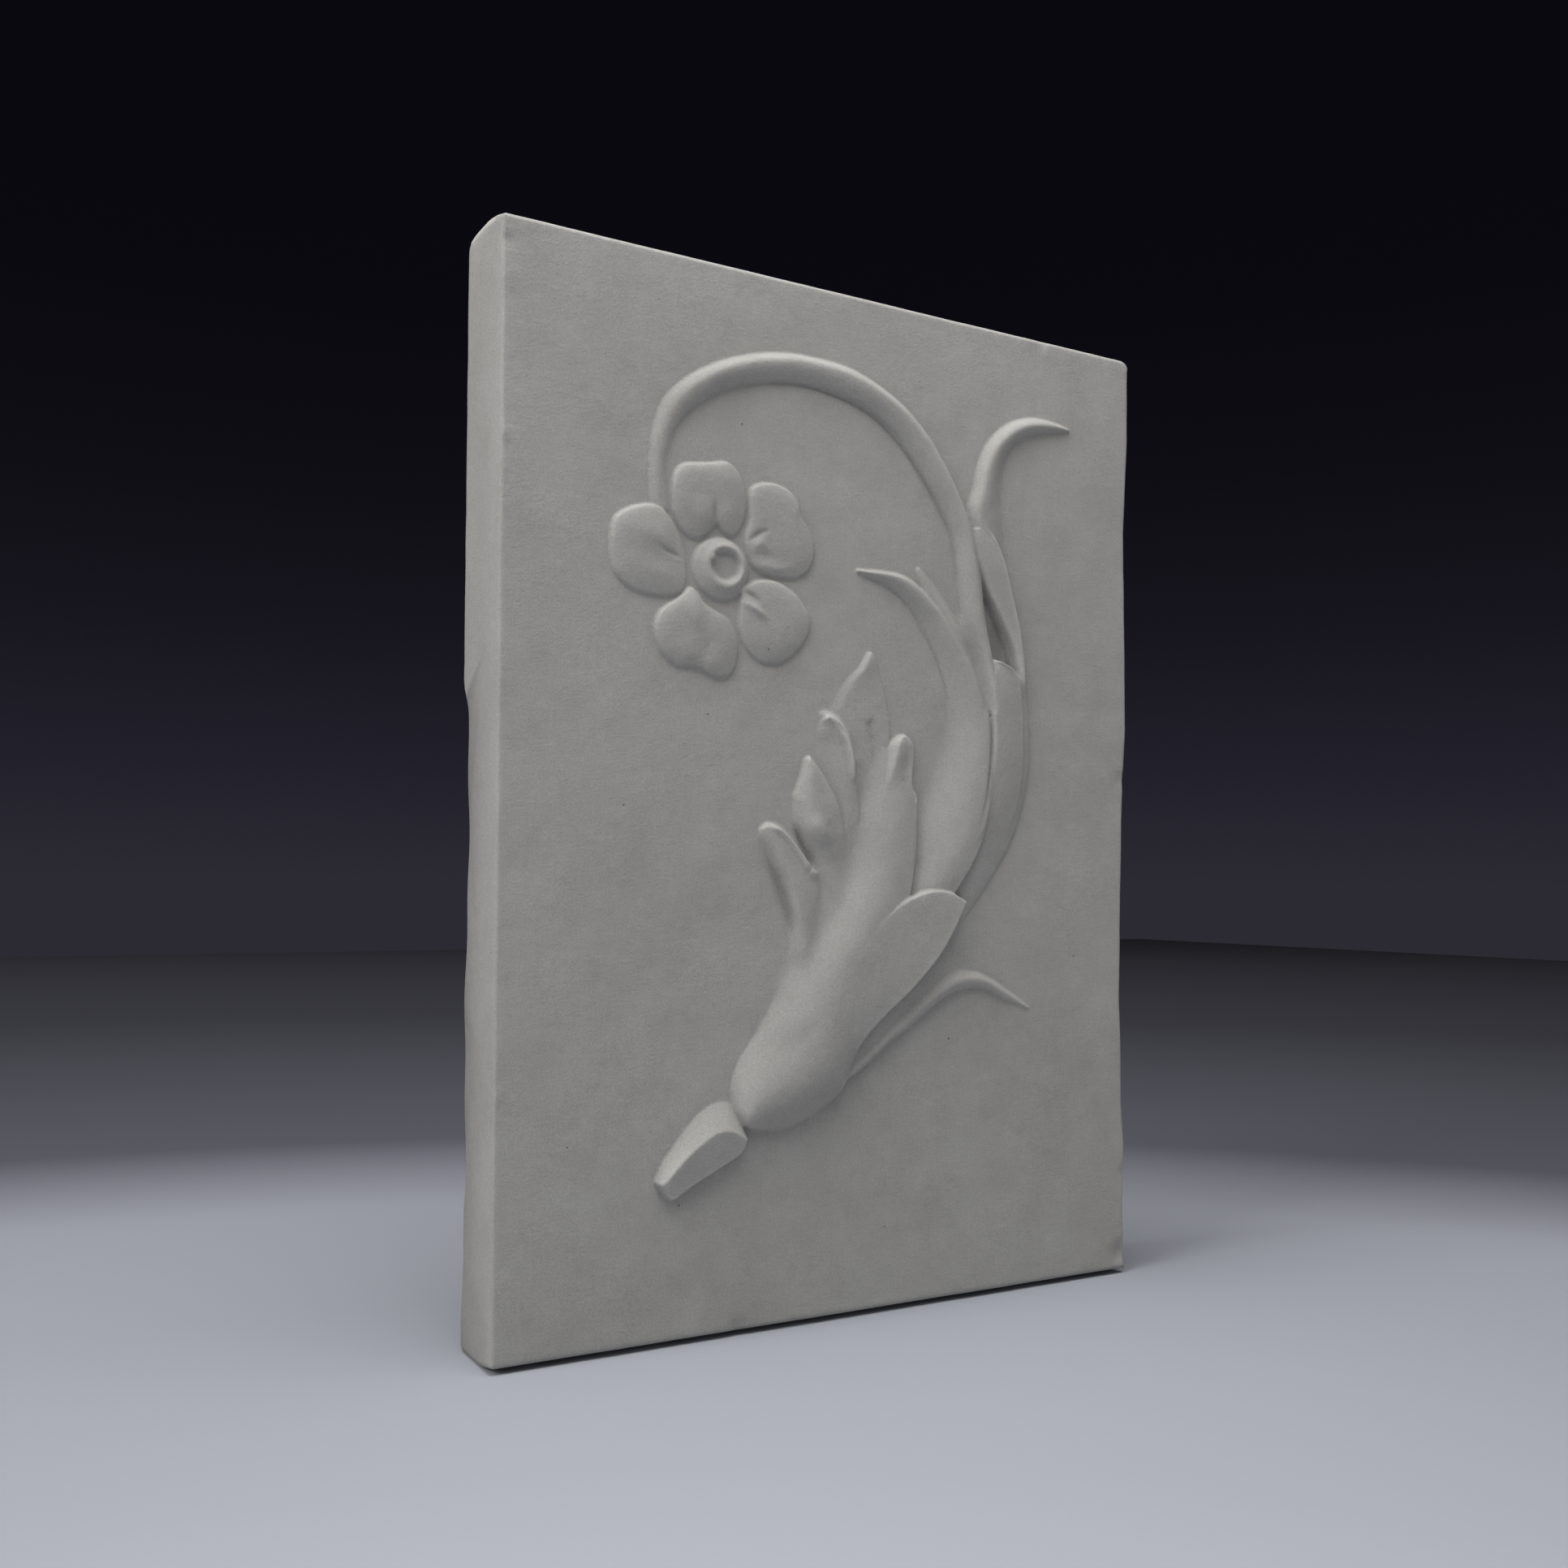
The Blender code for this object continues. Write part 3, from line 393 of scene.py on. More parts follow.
def petal(outline, crown, tall, drop):
    """A low cushion: steep and round along its upper left edge, and gently sloped everywhere else.

    crown is where its top lies, tall is how high that is, and drop is how far it sinks towards the
    flower's middle.
    """
    loop = [outline[-1], *outline, outline[0], outline[1]]
    shares = (1 + len(outline) * np.linspace(0, 1, int(LONGEST_OUTLINE / SKIN_STEP))) / (len(loop) - 1)
    edge = smooth(loop, shares)
    reach = np.linspace(0, 1, int(LONGEST_REACH / SKIN_STEP))[None, :]
    out_x = edge[:, :1] - crown[0]
    out_z = edge[:, 1:] - crown[1]
    x = crown[0] + out_x * reach
    z = crown[1] + out_z * reach
    facing = (UPPER_LEFT[0] * out_x + UPPER_LEFT[1] * out_z) / np.hypot(out_x, out_z)
    upper_left = (0.5 + 0.5 * facing) ** 2
    rim = RIM_HEIGHT * (1 + upper_left)
    inward = np.clip(1 - np.hypot(x - FLOWER_MIDDLE[0], z - FLOWER_MIDDLE[1]) / FLOWER_REACH, 0, 1)
    slope = reach ** (SOFT_SLOPE + STEEP_SLOPE * upper_left)
    lay(*stamp(x, z, rim + (tall - drop * inward - rim) * (1 - slope)))


petal([(-96.3, 399.3), (-94.3, 401.8), (-90.4, 403.3), (-85.2, 404.2), (-79.9, 405), (-75.3, 406.1),
       (-71.9, 406.7), (-68.6, 406.1), (-65.2, 403.6), (-62.7, 400), (-61, 395.8), (-60, 390.6),
       (-60, 385.8), (-60.9, 380.8), (-62.9, 376.4), (-65.6, 373.3), (-68.3, 372.4), (-71, 373.2),
       (-73.7, 375.6), (-75.3, 376.8), (-76.6, 375.5), (-79, 373.1), (-82.3, 370.3), (-85.5, 369),
       (-89.5, 369.7), (-92.7, 371.7), (-95.4, 375.5), (-97.3, 379.9), (-98, 384.7), (-98.4, 389.3),
       (-98.2, 394), (-97.4, 397.4)], (-79.5, 389.5), 3.4, 0.8)
petal([(-56.6, 396.6), (-53.2, 398.7), (-48.4, 399.9), (-42.8, 399.8), (-37.2, 398.1), (-33, 395),
       (-30.8, 391.6), (-30.1, 388.6), (-28.6, 385.1), (-25.7, 381.2), (-23.1, 376.6), (-22.1, 372.4),
       (-22.3, 367.4), (-24.1, 362.9), (-26.4, 359.8), (-30.6, 357.1), (-34.9, 356), (-41.9, 355.8),
       (-47.4, 356.2), (-52.3, 357.5), (-55.7, 359.5), (-57.8, 363.5), (-59.2, 368.1), (-59.9, 371.7),
       (-59.3, 375.4), (-58, 380.3), (-58, 385.2), (-58.3, 390), (-57.7, 394.3)], (-41, 377.5), 3, 0.6)
petal([(-61.7, 347.2), (-57.7, 350.6), (-53.6, 352.6), (-48.1, 353.5), (-42.5, 353.1), (-36.9, 351),
       (-32, 347.9), (-28.4, 344), (-25.5, 340), (-24.3, 335.1), (-25.1, 330.2), (-27.5, 325.8),
       (-31.7, 321.1), (-35.9, 317.4), (-40.8, 314.8), (-45.7, 314.1), (-51.2, 314.7), (-56, 317.3),
       (-59.5, 321.2), (-61.6, 325.8), (-62.6, 331.7), (-62.7, 338.5)], (-44, 334), 3.1, 0.4)
petal([(-90.2, 345.2), (-88, 345.7), (-84.9, 343.6), (-82.5, 340.3), (-78.9, 337.7), (-73.6, 335.3),
       (-69.6, 333.3), (-66.9, 330.6), (-64.8, 326.6), (-63.7, 321.9), (-64, 315.9), (-64.9, 311.2),
       (-67.4, 307.2), (-70.7, 305.2), (-75.4, 305.4), (-80.1, 306.8), (-84, 308.9), (-88, 309.5),
       (-92.5, 308.8), (-96.4, 310), (-100.3, 312.6), (-103.5, 316.2), (-105.7, 320.7), (-106.5, 325.3),
       (-105.8, 329.4), (-103.7, 333.7), (-99.9, 337), (-96.1, 339.4), (-92.6, 342.4)],
      (-85.5, 322.5), 3.2, 0)
petal([(-127.2, 372.5), (-125, 375.4), (-120.7, 378.3), (-115.7, 380.4), (-111.3, 381.5),
       (-106.9, 381.3), (-102.4, 379.5), (-99.8, 377), (-96.6, 372.7), (-94.2, 367.7), (-92.6, 363.2),
       (-91.5, 358.1), (-90.8, 352.4), (-91.4, 346.8), (-93.3, 343.6), (-96.6, 341.9), (-101.7, 340.9),
       (-108.1, 340.8), (-114.4, 341.5), (-119.4, 343.3), (-123.8, 346.3), (-126.7, 350), (-128, 354.4),
       (-128.6, 359.9), (-128.5, 366)],
      (-109.5, 361.5), 3.2, 0.4)

# Folds pressed into the petals.
score([(-76.6, 390), (-76.8, 384.5), (-76.4, 380.5), (-75.6, 375)], 1.4, -0.9, fade=0.5)
score([(-70, 392), (-69, 383), (-69, 375)], 3.4, 0.4, fade=0.5)
score([(-86, 390), (-85, 381), (-84, 373)], 3.6, 0.4, fade=0.5)
score([(-122, 368), (-113, 369), (-104, 367.5), (-95, 362.5)], 5.0, 0.8, fade=0.45)
score([(-120, 356), (-109, 357.5), (-99, 356), (-91, 351.5)], 4.4, -0.5, fade=0.5)
score([(-108, 364.5), (-103.6, 362.2), (-98.5, 360.2), (-92, 358.4)], 0.9, -0.9, fade=0.5)
score([(-60, 369.5), (-55.9, 372.8), (-51.8, 375.8), (-46, 377.6)], 1.4, -0.9, fade=0.5)
score([(-59, 366.5), (-53.5, 369.8), (-47, 371.4)], 2.2, 0.4, fade=0.5)
score([(-56.5, 363.7), (-49, 365.2), (-42, 364.5)], 2.2, -0.5, fade=0.5)
score([(-57.5, 361), (-50.3, 359.8), (-42, 359.4), (-33, 361.8)], 2.0, 0.6, fade=0.5)
score([(-61.8, 347.2), (-57, 345.1), (-51.5, 341)], 1.3, -1.0, fade=0.5)
score([(-64, 342.6), (-58, 340.2), (-52.8, 337.3), (-47, 334)], 1.8, 1.2, fade=0.45)
score([(-90.5, 344.5), (-88.5, 338), (-86, 330), (-84, 324)], 4.4, 0.9, fade=0.5)
score([(-82, 325), (-81, 317), (-84, 309)], 4.0, -0.6, fade=0.5)

BUTTON_FOOT = (-72.9, 356.2)
BUTTON_TOP = (-70.2, 358.2)
BUTTON_RADIUS = 14.5
turn = np.linspace(0, 2 * np.pi, 400)[:, None]
out = np.linspace(0, 1, 60)[None, :]
button_profile = np.interp(out, (0, 0.4, 0.45, 0.55, 0.6, 0.67, 0.76, 0.85, 0.94, 0.97, 1.0),
                           (1.2, 1.2, 1.5, 3.1, 3.4, 3.4, 2.8, 2.1, 1.6, 1.2, 0.7))
slide = out ** 2
lay(*stamp(
    BUTTON_TOP[0] + (BUTTON_FOOT[0] - BUTTON_TOP[0]) * slide + BUTTON_RADIUS * out * np.cos(turn),
    BUTTON_TOP[1] + (BUTTON_FOOT[1] - BUTTON_TOP[1]) * slide + BUTTON_RADIUS * out * np.sin(turn),
    button_profile + 0 * turn))
score([(-79.5, 361.4), (-77, 360.3), (-74.6, 359.2)], 1.7, 1.2, fade=0.45)


# Inner corners are full of a little slip, and edges are rubbed soft. A ball rolled over the sheet
# fills the corners, and a light blur takes the edges off.

CORNER_FILL = 0.6
EDGE_SOFTNESS = 0.3
RUB_SOFTNESS = 2.4
RUB_GAIN = 1.3
SHADE_AND_DUST_REACH = 2.5
UNEVENNESS = ((0.22, 34, 3), (0.12, 13, 5), (0.05, 5, 8))


def shifted(field, down, over):
    """The sheet moved by whole cells, repeating its border."""
    padded = np.pad(field, ((abs(down),) * 2, (abs(over),) * 2), mode="edge")
    rows, columns = field.shape
    return padded[abs(down) - down:abs(down) - down + rows, abs(over) - over:abs(over) - over + columns]


def roll_ball(field, radius):
    """Fills every inner corner to the radius of a ball in millimetres."""
    cells = int(radius / SHEET_PITCH)
    offsets = [(i, j) for i in range(-cells, cells + 1) for j in range(-cells, cells + 1)
               if math.hypot(i, j) * SHEET_PITCH < radius]
    drop = {o: radius - math.sqrt(radius ** 2 - (math.hypot(*o) * SHEET_PITCH) ** 2) for o in offsets}
    over = np.max([shifted(field, *o) - drop[o] for o in offsets], axis=0)
    return np.min([shifted(over, *o) + drop[o] for o in offsets], axis=0)


def blur(field, radius):
    """A soft blur of the sheet, by a radius in millimetres."""
    reach = int(3 * radius / SHEET_PITCH) + 1
    steps_out = np.arange(-reach, reach + 1) * SHEET_PITCH
    weights = np.exp(-0.5 * (steps_out / radius) ** 2)
    weights /= weights.sum()
    for axis in (0, 1):
        padded = np.pad(field, [(reach, reach) if axis == a else (0, 0) for a in (0, 1)], mode="edge")
        size = field.shape[axis]
        field = sum(w * (padded[k:k + size] if axis == 0 else padded[:, k:k + size])
                    for k, w in enumerate(weights))
    return field


relief = roll_ball(relief, CORNER_FILL)
relief = blur(relief, EDGE_SOFTNESS)

# Places that hands have rubbed smooth: a path on the sheet and the width of the rubbing.
rubbed = np.zeros_like(relief)
for path, width in (
    ([(-14, 204), (-18, 192), (-25, 179), (-32, 167), (-42, 154)], 10),
    ([(-10, 222), (-13, 208), (-12, 196)], 7),
    ([(2, 240), (0, 225), (-3, 210), (-8, 198)], 5),
    ([(-4, 196), (-11, 185), (-20, 174), (-30, 163)], 5),
    ([(-2, 262), (0, 246), (-2, 228)], 4),
    ([(17, 252), (23, 248), (29, 248)], 3),
    ([(84, 262), (90, 250), (88, 236)], 8),
    ([(94, 276), (96, 262), (95, 250)], 8),
    ([(-8, 116), (-4, 122), (0, 130)], 3),
    ([(59, 296), (56.5, 279), (51, 265), (47, 254)], 7),
    ([(65, 350), (69, 340), (73.5, 328), (78.5, 313), (81.5, 303), (82.6, 296)], 5),
    ([(5, 266), (11, 275), (18, 273)], 5),
):
    rubbed = np.maximum(rubbed, np.minimum(RUB_GAIN * stroke(path, width), 1))
relief = relief + (blur(relief, RUB_SOFTNESS) - relief) * rubbed

# Dust and painted shade lie where the sheet is lower than around it, and more in creases, while painted
# highlights lie on crests. Each path has its width and how much painted shade it lays, in creases, along
# lower edges and on slopes turned from the light, with two specks that are dark marks on the plaster; below
# 0 it is a painted highlight along a rim.
hollow = blur(relief, SHADE_AND_DUST_REACH) - relief
for path, width, shade_and_marks in (
    ([(14, 292.5), (10, 289.5), (7.5, 286)], 1.4, 4.0),
    ([(11, 290), (11.6, 281), (12.6, 268)], 1.0, 2.2),
    ([(-49.5, 229), (-45.4, 219), (-41, 210), (-37, 201), (-34, 190), (-33, 176)], 2.2, 3.0),
    ([(-32, 243), (-31, 236), (-28, 229), (-24, 222.5), (-21, 216)], 1.4, 2.2),
    ([(-17, 268), (-15, 279), (-10.5, 281), (-6.5, 275)], 3.2, 1.2),
    ([(-18, 290.6), (-13, 290.3), (-8.6, 287.4), (-5, 283), (-2.6, 277.6), (-0.8, 271)], 1.3, -2.6),
    ([(-46, 235.6), (-40.6, 234.2), (-35, 229.6), (-30, 223.4), (-25.6, 217.2), (-20.6, 213.8)], 1.2, -1.8),
    ([(83.6, 322.6), (87, 325.6), (91, 325.2), (96, 322.8), (100, 318.8), (102.8, 312)], 0.7, -2.2),
    ([(83.4, 303), (83.8, 290), (83, 276), (80.6, 261), (78, 249)], 0.8, 2.4),
    ([(38.6, 243), (38, 229), (35.6, 214), (32.4, 203)], 0.7, 2.0),
    ([(62, 214), (59, 210), (56, 207)], 2.2, 0.7),
    ([(86, 349), (88.6, 342), (91.5, 335), (94.5, 327)], 3.2, 3.2),
    ([(88, 338), (91, 331), (95, 326.6)], 3.0, 2.6),
    ([(-92, 375), (-86.5, 369.6), (-81, 371.4), (-76, 376)], 1.0, 0.9),
    ([(-66, 443.8), (-46, 448.6), (-27, 450.2), (-5, 447.2), (13, 440.8), (28, 430), (40, 417), (51, 402.4),
      (60.6, 385.6), (64.2, 366), (68, 343.5)], 0.8, 2.4),
    ([(76, 391), (80, 393.6), (85.4, 390), (90, 384), (94.2, 373), (97.8, 361), (101, 350.5), (103.6, 340)],
     0.7, -2.4),
    # Two small dark marks on the plaster itself.
    ([(-103.6, 399), (-102.4, 399)], 0.8, 4.0),
    ([(-105, 386), (-104, 386)], 0.8, 4.0),
    ([(59, 296), (58.6, 303), (55.6, 314), (50, 326.6), (42.4, 337.4), (33, 347)], 0.7, 1.6),
):
    hollow = hollow + shade_and_marks * stroke(path, width, fade=0.4)
for tall, cell, seed in UNEVENNESS:
    relief = relief + tall * clouds(cell, seed)


# The slab itself, about 53 mm thick. Its top and underside swell where the plaster bulged between
# the boards, its edges are rubbed round, and the lower left of the back is spalled away.

SLAB_THICKNESS = 53.0
UNDERSIDE_SWELL = 3.0
TOP_LINE = (
    (0, 0), (8, 2.5), (14.5, 3.8), (21, 4.7), (35, 5.0), (43, 4.7), (46.6, 3.9), (49, 1.7), (51.2, -2.4),
    (52.3, -9), (53, -16),
)
UNDERSIDE_LINE = ((0, 3.0), (7.7, 1.5), (14, 0), (47, 0), (50, 1.2), (52, 3.5), (53, 6))
RIGHT_SIDE = (
    (0, 0), (34, -1.2), (67, -0.3), (90, -2.4), (123, -2.9), (145, -4.0), (173, -3.6), (217, -3.2),
    (246, -2.8), (268, -1.6), (296, -0.2), (335, -0.8), (358, -1.5), (403, -2.0), (437, -0.6),
    (455, 0.2), (500, 0.3),
)
CORNER_ROUNDS = {(-1, -1): 2.5, (-1, 1): 2.3, (1, 1): 6.5, (1, -1): 1.2}
EDGE_ROUND = {"left": 1.7, "right": 1.5, "top": 1.5, "bottom": 1.5}
BACK_SIDE_ROUND = ((0, 0), (45, 0), (49, 0.8), (51.5, 2.4), (53, 5.5))
SPALL_TOP = 296.0
SPALL_DEPTH = 15.0
SPALL_REACH = 45.0
SPALL_DISH = 1.4
SPALL_TOP_RUN = 26.0
SPALL_LIP = 20.0
WORN_DEPTH = 0.9
WORN_REACH = 14.0
BACK_UNEVENNESS = 0.35
BACK_CLOUDS = (28, 11)

# Waves of the rear left edge: each has its height, its turn per millimetre and where it starts.
REACH_WAVES = ((6, 0.06, 0),)
LIP_WAVES = ((1.6, 0.045, 1), (0.9, 0.13, 0))
TOP_WAVES = ((2.0, 0.9, 0), (1.2, 0.37, 2))
WORN_WAVES = ((0.9, 0.09, 0),)

# The grid's paces in millimetres, how much coarser it is on the back, and how many triangles stay.
FINE = 0.6
COARSE = 2.6
STEP_DOWN = 4
PACES = (0.8, COARSE, FINE, COARSE, 0.9)
SPRAY_ACROSS = (-134, 144)
SPRAY_UP = (60, 468)
FRONT_SKIN = 4
TRIANGLES_KEPT = 190000


def ruler(edges, paces, multiple):
    """Grid lines from edge to edge at each stretch's pace, in a number that steps down evenly."""
    lines = [edges[0]]
    for start, end, pace in zip(edges, edges[1:], paces):
        count = max(1, round((end - start) / pace))
        lines += [start + (end - start) * k / count for k in range(1, count + 1)]
    spare = (len(lines) - 1) % multiple
    widest = np.argsort(-np.diff(lines))[:multiple - spare] if spare else []
    for k in sorted(widest, reverse=True):
        lines.insert(k + 1, (lines[k] + lines[k + 1]) / 2)
    return np.array(lines)


half_face = FACE_WIDTH / 2
grid_x = ruler([-half_face, -half_face + 5, *SPRAY_ACROSS, half_face - 8, half_face], PACES, STEP_DOWN)
grid_z = ruler([0, 4, *SPRAY_UP, FACE_HEIGHT - 8, FACE_HEIGHT], PACES, STEP_DOWN)


def slab_x(x, z, depth):
    """Where a point of the flat drawing lies across the slab, at a depth behind the front."""
    right = np.interp(z, *zip(*RIGHT_SIDE)) * np.clip(x / half_face, 0, 1) ** 3
    draw_in = np.interp(depth, *zip(*BACK_SIDE_ROUND)) * x / half_face
    return x + right - draw_in


def slab_z(z, depth):
    """How high a point of the flat drawing lies, at a depth behind the front."""
    top = np.interp(depth, *zip(*TOP_LINE)) + FACE_HEIGHT + UNDERSIDE_SWELL
    bottom = np.interp(depth, *zip(*UNDERSIDE_LINE))
    return bottom + (top - bottom) * z / FACE_HEIGHT


def round_corners(x, z):
    """Pulls the drawing's square corners in to their rounds."""
    x, z = x.copy(), z.copy()
    for (side, end), radius in CORNER_ROUNDS.items():
        u = 1 - (half_face - side * x) / radius
        v = 1 - (FACE_HEIGHT / 2 - end * (z - FACE_HEIGHT / 2)) / radius
        inside = (u > 0) & (v > 0)
        u, v = np.where(inside, u, 0), np.where(inside, v, 0)
        pull = np.maximum(u, v) / np.maximum(np.hypot(u, v), 1e-9)
        x = np.where(inside, side * (half_face - radius + radius * u * pull), x)
        z = np.where(inside, FACE_HEIGHT / 2 + end * (FACE_HEIGHT / 2 - radius + radius * v * pull), z)
    return x, z


def waver(way, waves):
    """How far a ragged edge strays at a place along it."""
    return sum(tall * np.sin(way * pace + start) for tall, pace, start in waves)


def thickness(x, z):
    """How thick the slab is at a point of the drawing: less where the back is spalled or worn."""
    from_edge = x + half_face
    reach = SPALL_REACH + waver(z, REACH_WAVES)
    spalled = SLAB_THICKNESS - SPALL_DEPTH * np.clip(1 - from_edge / reach, 0, 1) ** SPALL_DISH
    spalled = spalled + waver(z, LIP_WAVES) * np.clip(1 - from_edge / SPALL_LIP, 0, 1)
    share = np.clip((z - SPALL_TOP - waver(x, TOP_WAVES)) / SPALL_TOP_RUN + 0.5, 0, 1)
    share = share * share * (3 - 2 * share)
    worn = (waver(z, WORN_WAVES) + WORN_DEPTH) * np.clip(1 - from_edge / WORN_REACH, 0, 1)
    return spalled * (1 - share) + (SLAB_THICKNESS - worn) * share


# Knocks on the front's edges: where across and up, how far each reaches and how deep it is. Below
# 0 the edge stands a little proud.
KNOCKS = (
    (177, 9, 5, 1.6), (179, 52, 3, 0.8), (-179, 404, 4, -0.5), (-180, 116, 4, -0.5), (-178, 488, 3, 0.8),
    (120, 499.5, 3.5, 0.7), (-60, 1, 4, 0.9), (179, 268, 5, 0.7),
)


def edge_fall(x, z):
    """How far the front falls back near its edges, where they are rubbed round or knocked."""
    fall = np.zeros_like(x)
    for gap, radius in (
        (x + half_face, EDGE_ROUND["left"]), (half_face - x, EDGE_ROUND["right"]),
        (FACE_HEIGHT - z, EDGE_ROUND["top"]), (z, EDGE_ROUND["bottom"]),
    ):
        near = np.clip(1 - gap / radius, 0, 1)
        fall = np.maximum(fall, radius * (1 - np.sqrt(1 - near ** 2)))
    for knock_x, knock_z, reach, depth in KNOCKS:
        fall = fall + depth * np.exp(-((x - knock_x) ** 2 + (z - knock_z) ** 2) / reach ** 2)
    return fall


def read(field, x, z):
    """The sheet's value at points, blended between its cells."""
    column = np.clip((x - sheet_x[0]) / SHEET_PITCH, 0, len(sheet_x) - 1.001)
    row = np.clip((z - sheet_z[0]) / SHEET_PITCH, 0, len(sheet_z) - 1.001)
    c, r = column.astype(int), row.astype(int)
    over, up = column - c, row - r
    return ((field[r, c] * (1 - over) + field[r, c + 1] * over) * (1 - up)
            + (field[r + 1, c] * (1 - over) + field[r + 1, c + 1] * over) * up)


def loop_of(numbers):
    """The outer loop of a grid of point numbers, once round."""
    return np.concatenate([numbers[0, :-1], numbers[:-1, -1], numbers[-1, :0:-1], numbers[:0:-1, 0]])


flat_x, flat_z = np.meshgrid(grid_x, grid_z)
flat_x, flat_z = round_corners(flat_x, flat_z)
fall = edge_fall(flat_x, flat_z)
front = np.stack([
    slab_x(flat_x, flat_z, fall),
    fall - SLAB_THICKNESS / 2 - read(relief, flat_x, flat_z),
    slab_z(flat_z, 0 * flat_x + fall),
], axis=-1)
numbers = np.arange(front[..., 0].size).reshape(front.shape[:2])
corners = [front.reshape(-1, 3)]
faces = np.stack([numbers[:-1, :-1], numbers[:-1, 1:], numbers[1:, 1:], numbers[1:, :-1]], axis=-1)
faces = faces.reshape(-1, 4).tolist()

loop = loop_of(numbers)
loop_x, loop_z = flat_x.ravel()[loop], flat_z.ravel()[loop]
loop_start = fall.ravel()[loop]
loop_end = thickness(loop_x, loop_z)
count = numbers.size
RING_SHARES = (0.03, 0.08, 0.16, 0.27, 0.4, 0.54, 0.68, 0.79, 0.87, 0.92, 0.955, 0.98, 1.0)
for ring, share in enumerate(RING_SHARES):
    halve = ring in (1, 3)
    last = loop
    if halve:
        loop_x, loop_z, loop_start, loop_end = loop_x[::2], loop_z[::2], loop_start[::2], loop_end[::2]
    depth = loop_start + (loop_end - loop_start) * share
    shaped = depth if share < 1 else loop_end
    points = np.stack([
        slab_x(loop_x, loop_z, shaped), depth - SLAB_THICKNESS / 2, slab_z(loop_z, shaped),
    ], axis=-1)
    corners.append(points)
    loop = np.arange(count, count + len(points))
    count += len(points)
    following = np.roll(loop, -1)
    if halve:
        a, b, c = last[::2], last[1::2], np.roll(last, -2)[::2]
        faces += np.stack([a, loop, following, c, b], axis=-1).tolist()
    else:
        faces += np.stack([last, loop, following, np.roll(last, -1)], axis=-1).tolist()

back_x, back_z = flat_x[::STEP_DOWN, ::STEP_DOWN], flat_z[::STEP_DOWN, ::STEP_DOWN]
back_depth = thickness(back_x, back_z)
rim_share = np.maximum(np.abs(back_x) / half_face, np.abs(back_z - FACE_HEIGHT / 2) * 2 / FACE_HEIGHT)
within_rim = rim_share < 0.999
back = np.stack([
    slab_x(back_x, back_z, back_depth),
    back_depth - SLAB_THICKNESS / 2
    - BACK_UNEVENNESS * read(clouds(*BACK_CLOUDS), back_x, back_z) * within_rim,
    slab_z(back_z, back_depth),
], axis=-1)
inner = back[1:-1, 1:-1]
back_numbers = np.full(back_x.shape, -1)
back_numbers[1:-1, 1:-1] = count + np.arange(inner[..., 0].size).reshape(inner.shape[:2])
corners.append(inner.reshape(-1, 3))
rows, columns = back_numbers.shape
back_numbers[0, :-1] = loop[:columns - 1]
back_numbers[:-1, -1] = loop[columns - 1:columns + rows - 2]
back_numbers[-1, :0:-1] = loop[columns + rows - 2:2 * columns + rows - 3]
back_numbers[:0:-1, 0] = loop[2 * columns + rows - 3:]
faces += np.stack([
    back_numbers[:-1, :-1], back_numbers[1:, :-1], back_numbers[1:, 1:], back_numbers[:-1, 1:],
], axis=-1).reshape(-1, 4).tolist()

panel_mesh = bpy.data.meshes.new("relief_panel_cast")
panel_mesh.from_pydata((np.concatenate(corners) / 1000).tolist(), [], faces)
panel_mesh.update()
cast = bpy.data.objects.new("relief_panel_cast", panel_mesh)
bpy.context.scene.collection.objects.link(cast)
thin = cast.modifiers.new("fewer faces on the flat", "DECIMATE")
thin.ratio = TRIANGLES_KEPT / sum(len(face) - 2 for face in faces)
graph = bpy.context.evaluated_depsgraph_get()
thinned = bpy.data.meshes.new_from_object(cast.evaluated_get(graph))
cast.modifiers.clear()
cast.data = thinned
thinned.shade_smooth()

# Each point of the front keeps its dust and painted shade, for the plaster to read.
spots = np.empty(len(thinned.vertices) * 3)
thinned.vertices.foreach_get("co", spots)
spots = spots.reshape(-1, 3) * 1000
is_front = spots[:, 1] < -SLAB_THICKNESS / 2 + FRONT_SKIN
shade_and_dust = np.where(is_front, read(hollow, spots[:, 0], spots[:, 2] - UNDERSIDE_SWELL), 0)
thinned.attributes.new("hollow", "FLOAT", "POINT").data.foreach_set("value", shade_and_dust.astype(np.float32))


# Dry cast plaster, bare of any coat of paint: a warm pale grey, faintly blotched, with fine grain all over.
# Painted shade, with some dust, darkens its creases and hollows, painted shade darkens it towards its foot,
# and painted highlights lighten rims and crests.

BLOTCHES = ((0.085, 0.5), (0.021, 0.3), (0.006, 0.2))
WEAVE_SIZE = 0.0013
PINHOLE_SPACING = 0.021
PINHOLE_RADIUS = 0.0007
# Painted shade with dust in hollows, and painted highlights on crests: how much per millimetre of hollow,
# and its darkest and lightest.
SHADE_AND_DUST_PER_MM = 0.10
SHADE_AND_DUST_MOST = 0.30
SHADE_AND_DUST_LEAST = -0.16
# Painted shade towards the foot, and how fast it fades upwards per metre.
FOOT_PAINTED_SHADE = 0.085
FOOT_SHADE_FADE_PER_METRE = 0.19
WEAVE_CONTRAST = 0.10
SPECKLE_CONTRAST = 0.42
PINHOLE_DARKNESS = 0.6
BUMP_DEPTH = 0.0002


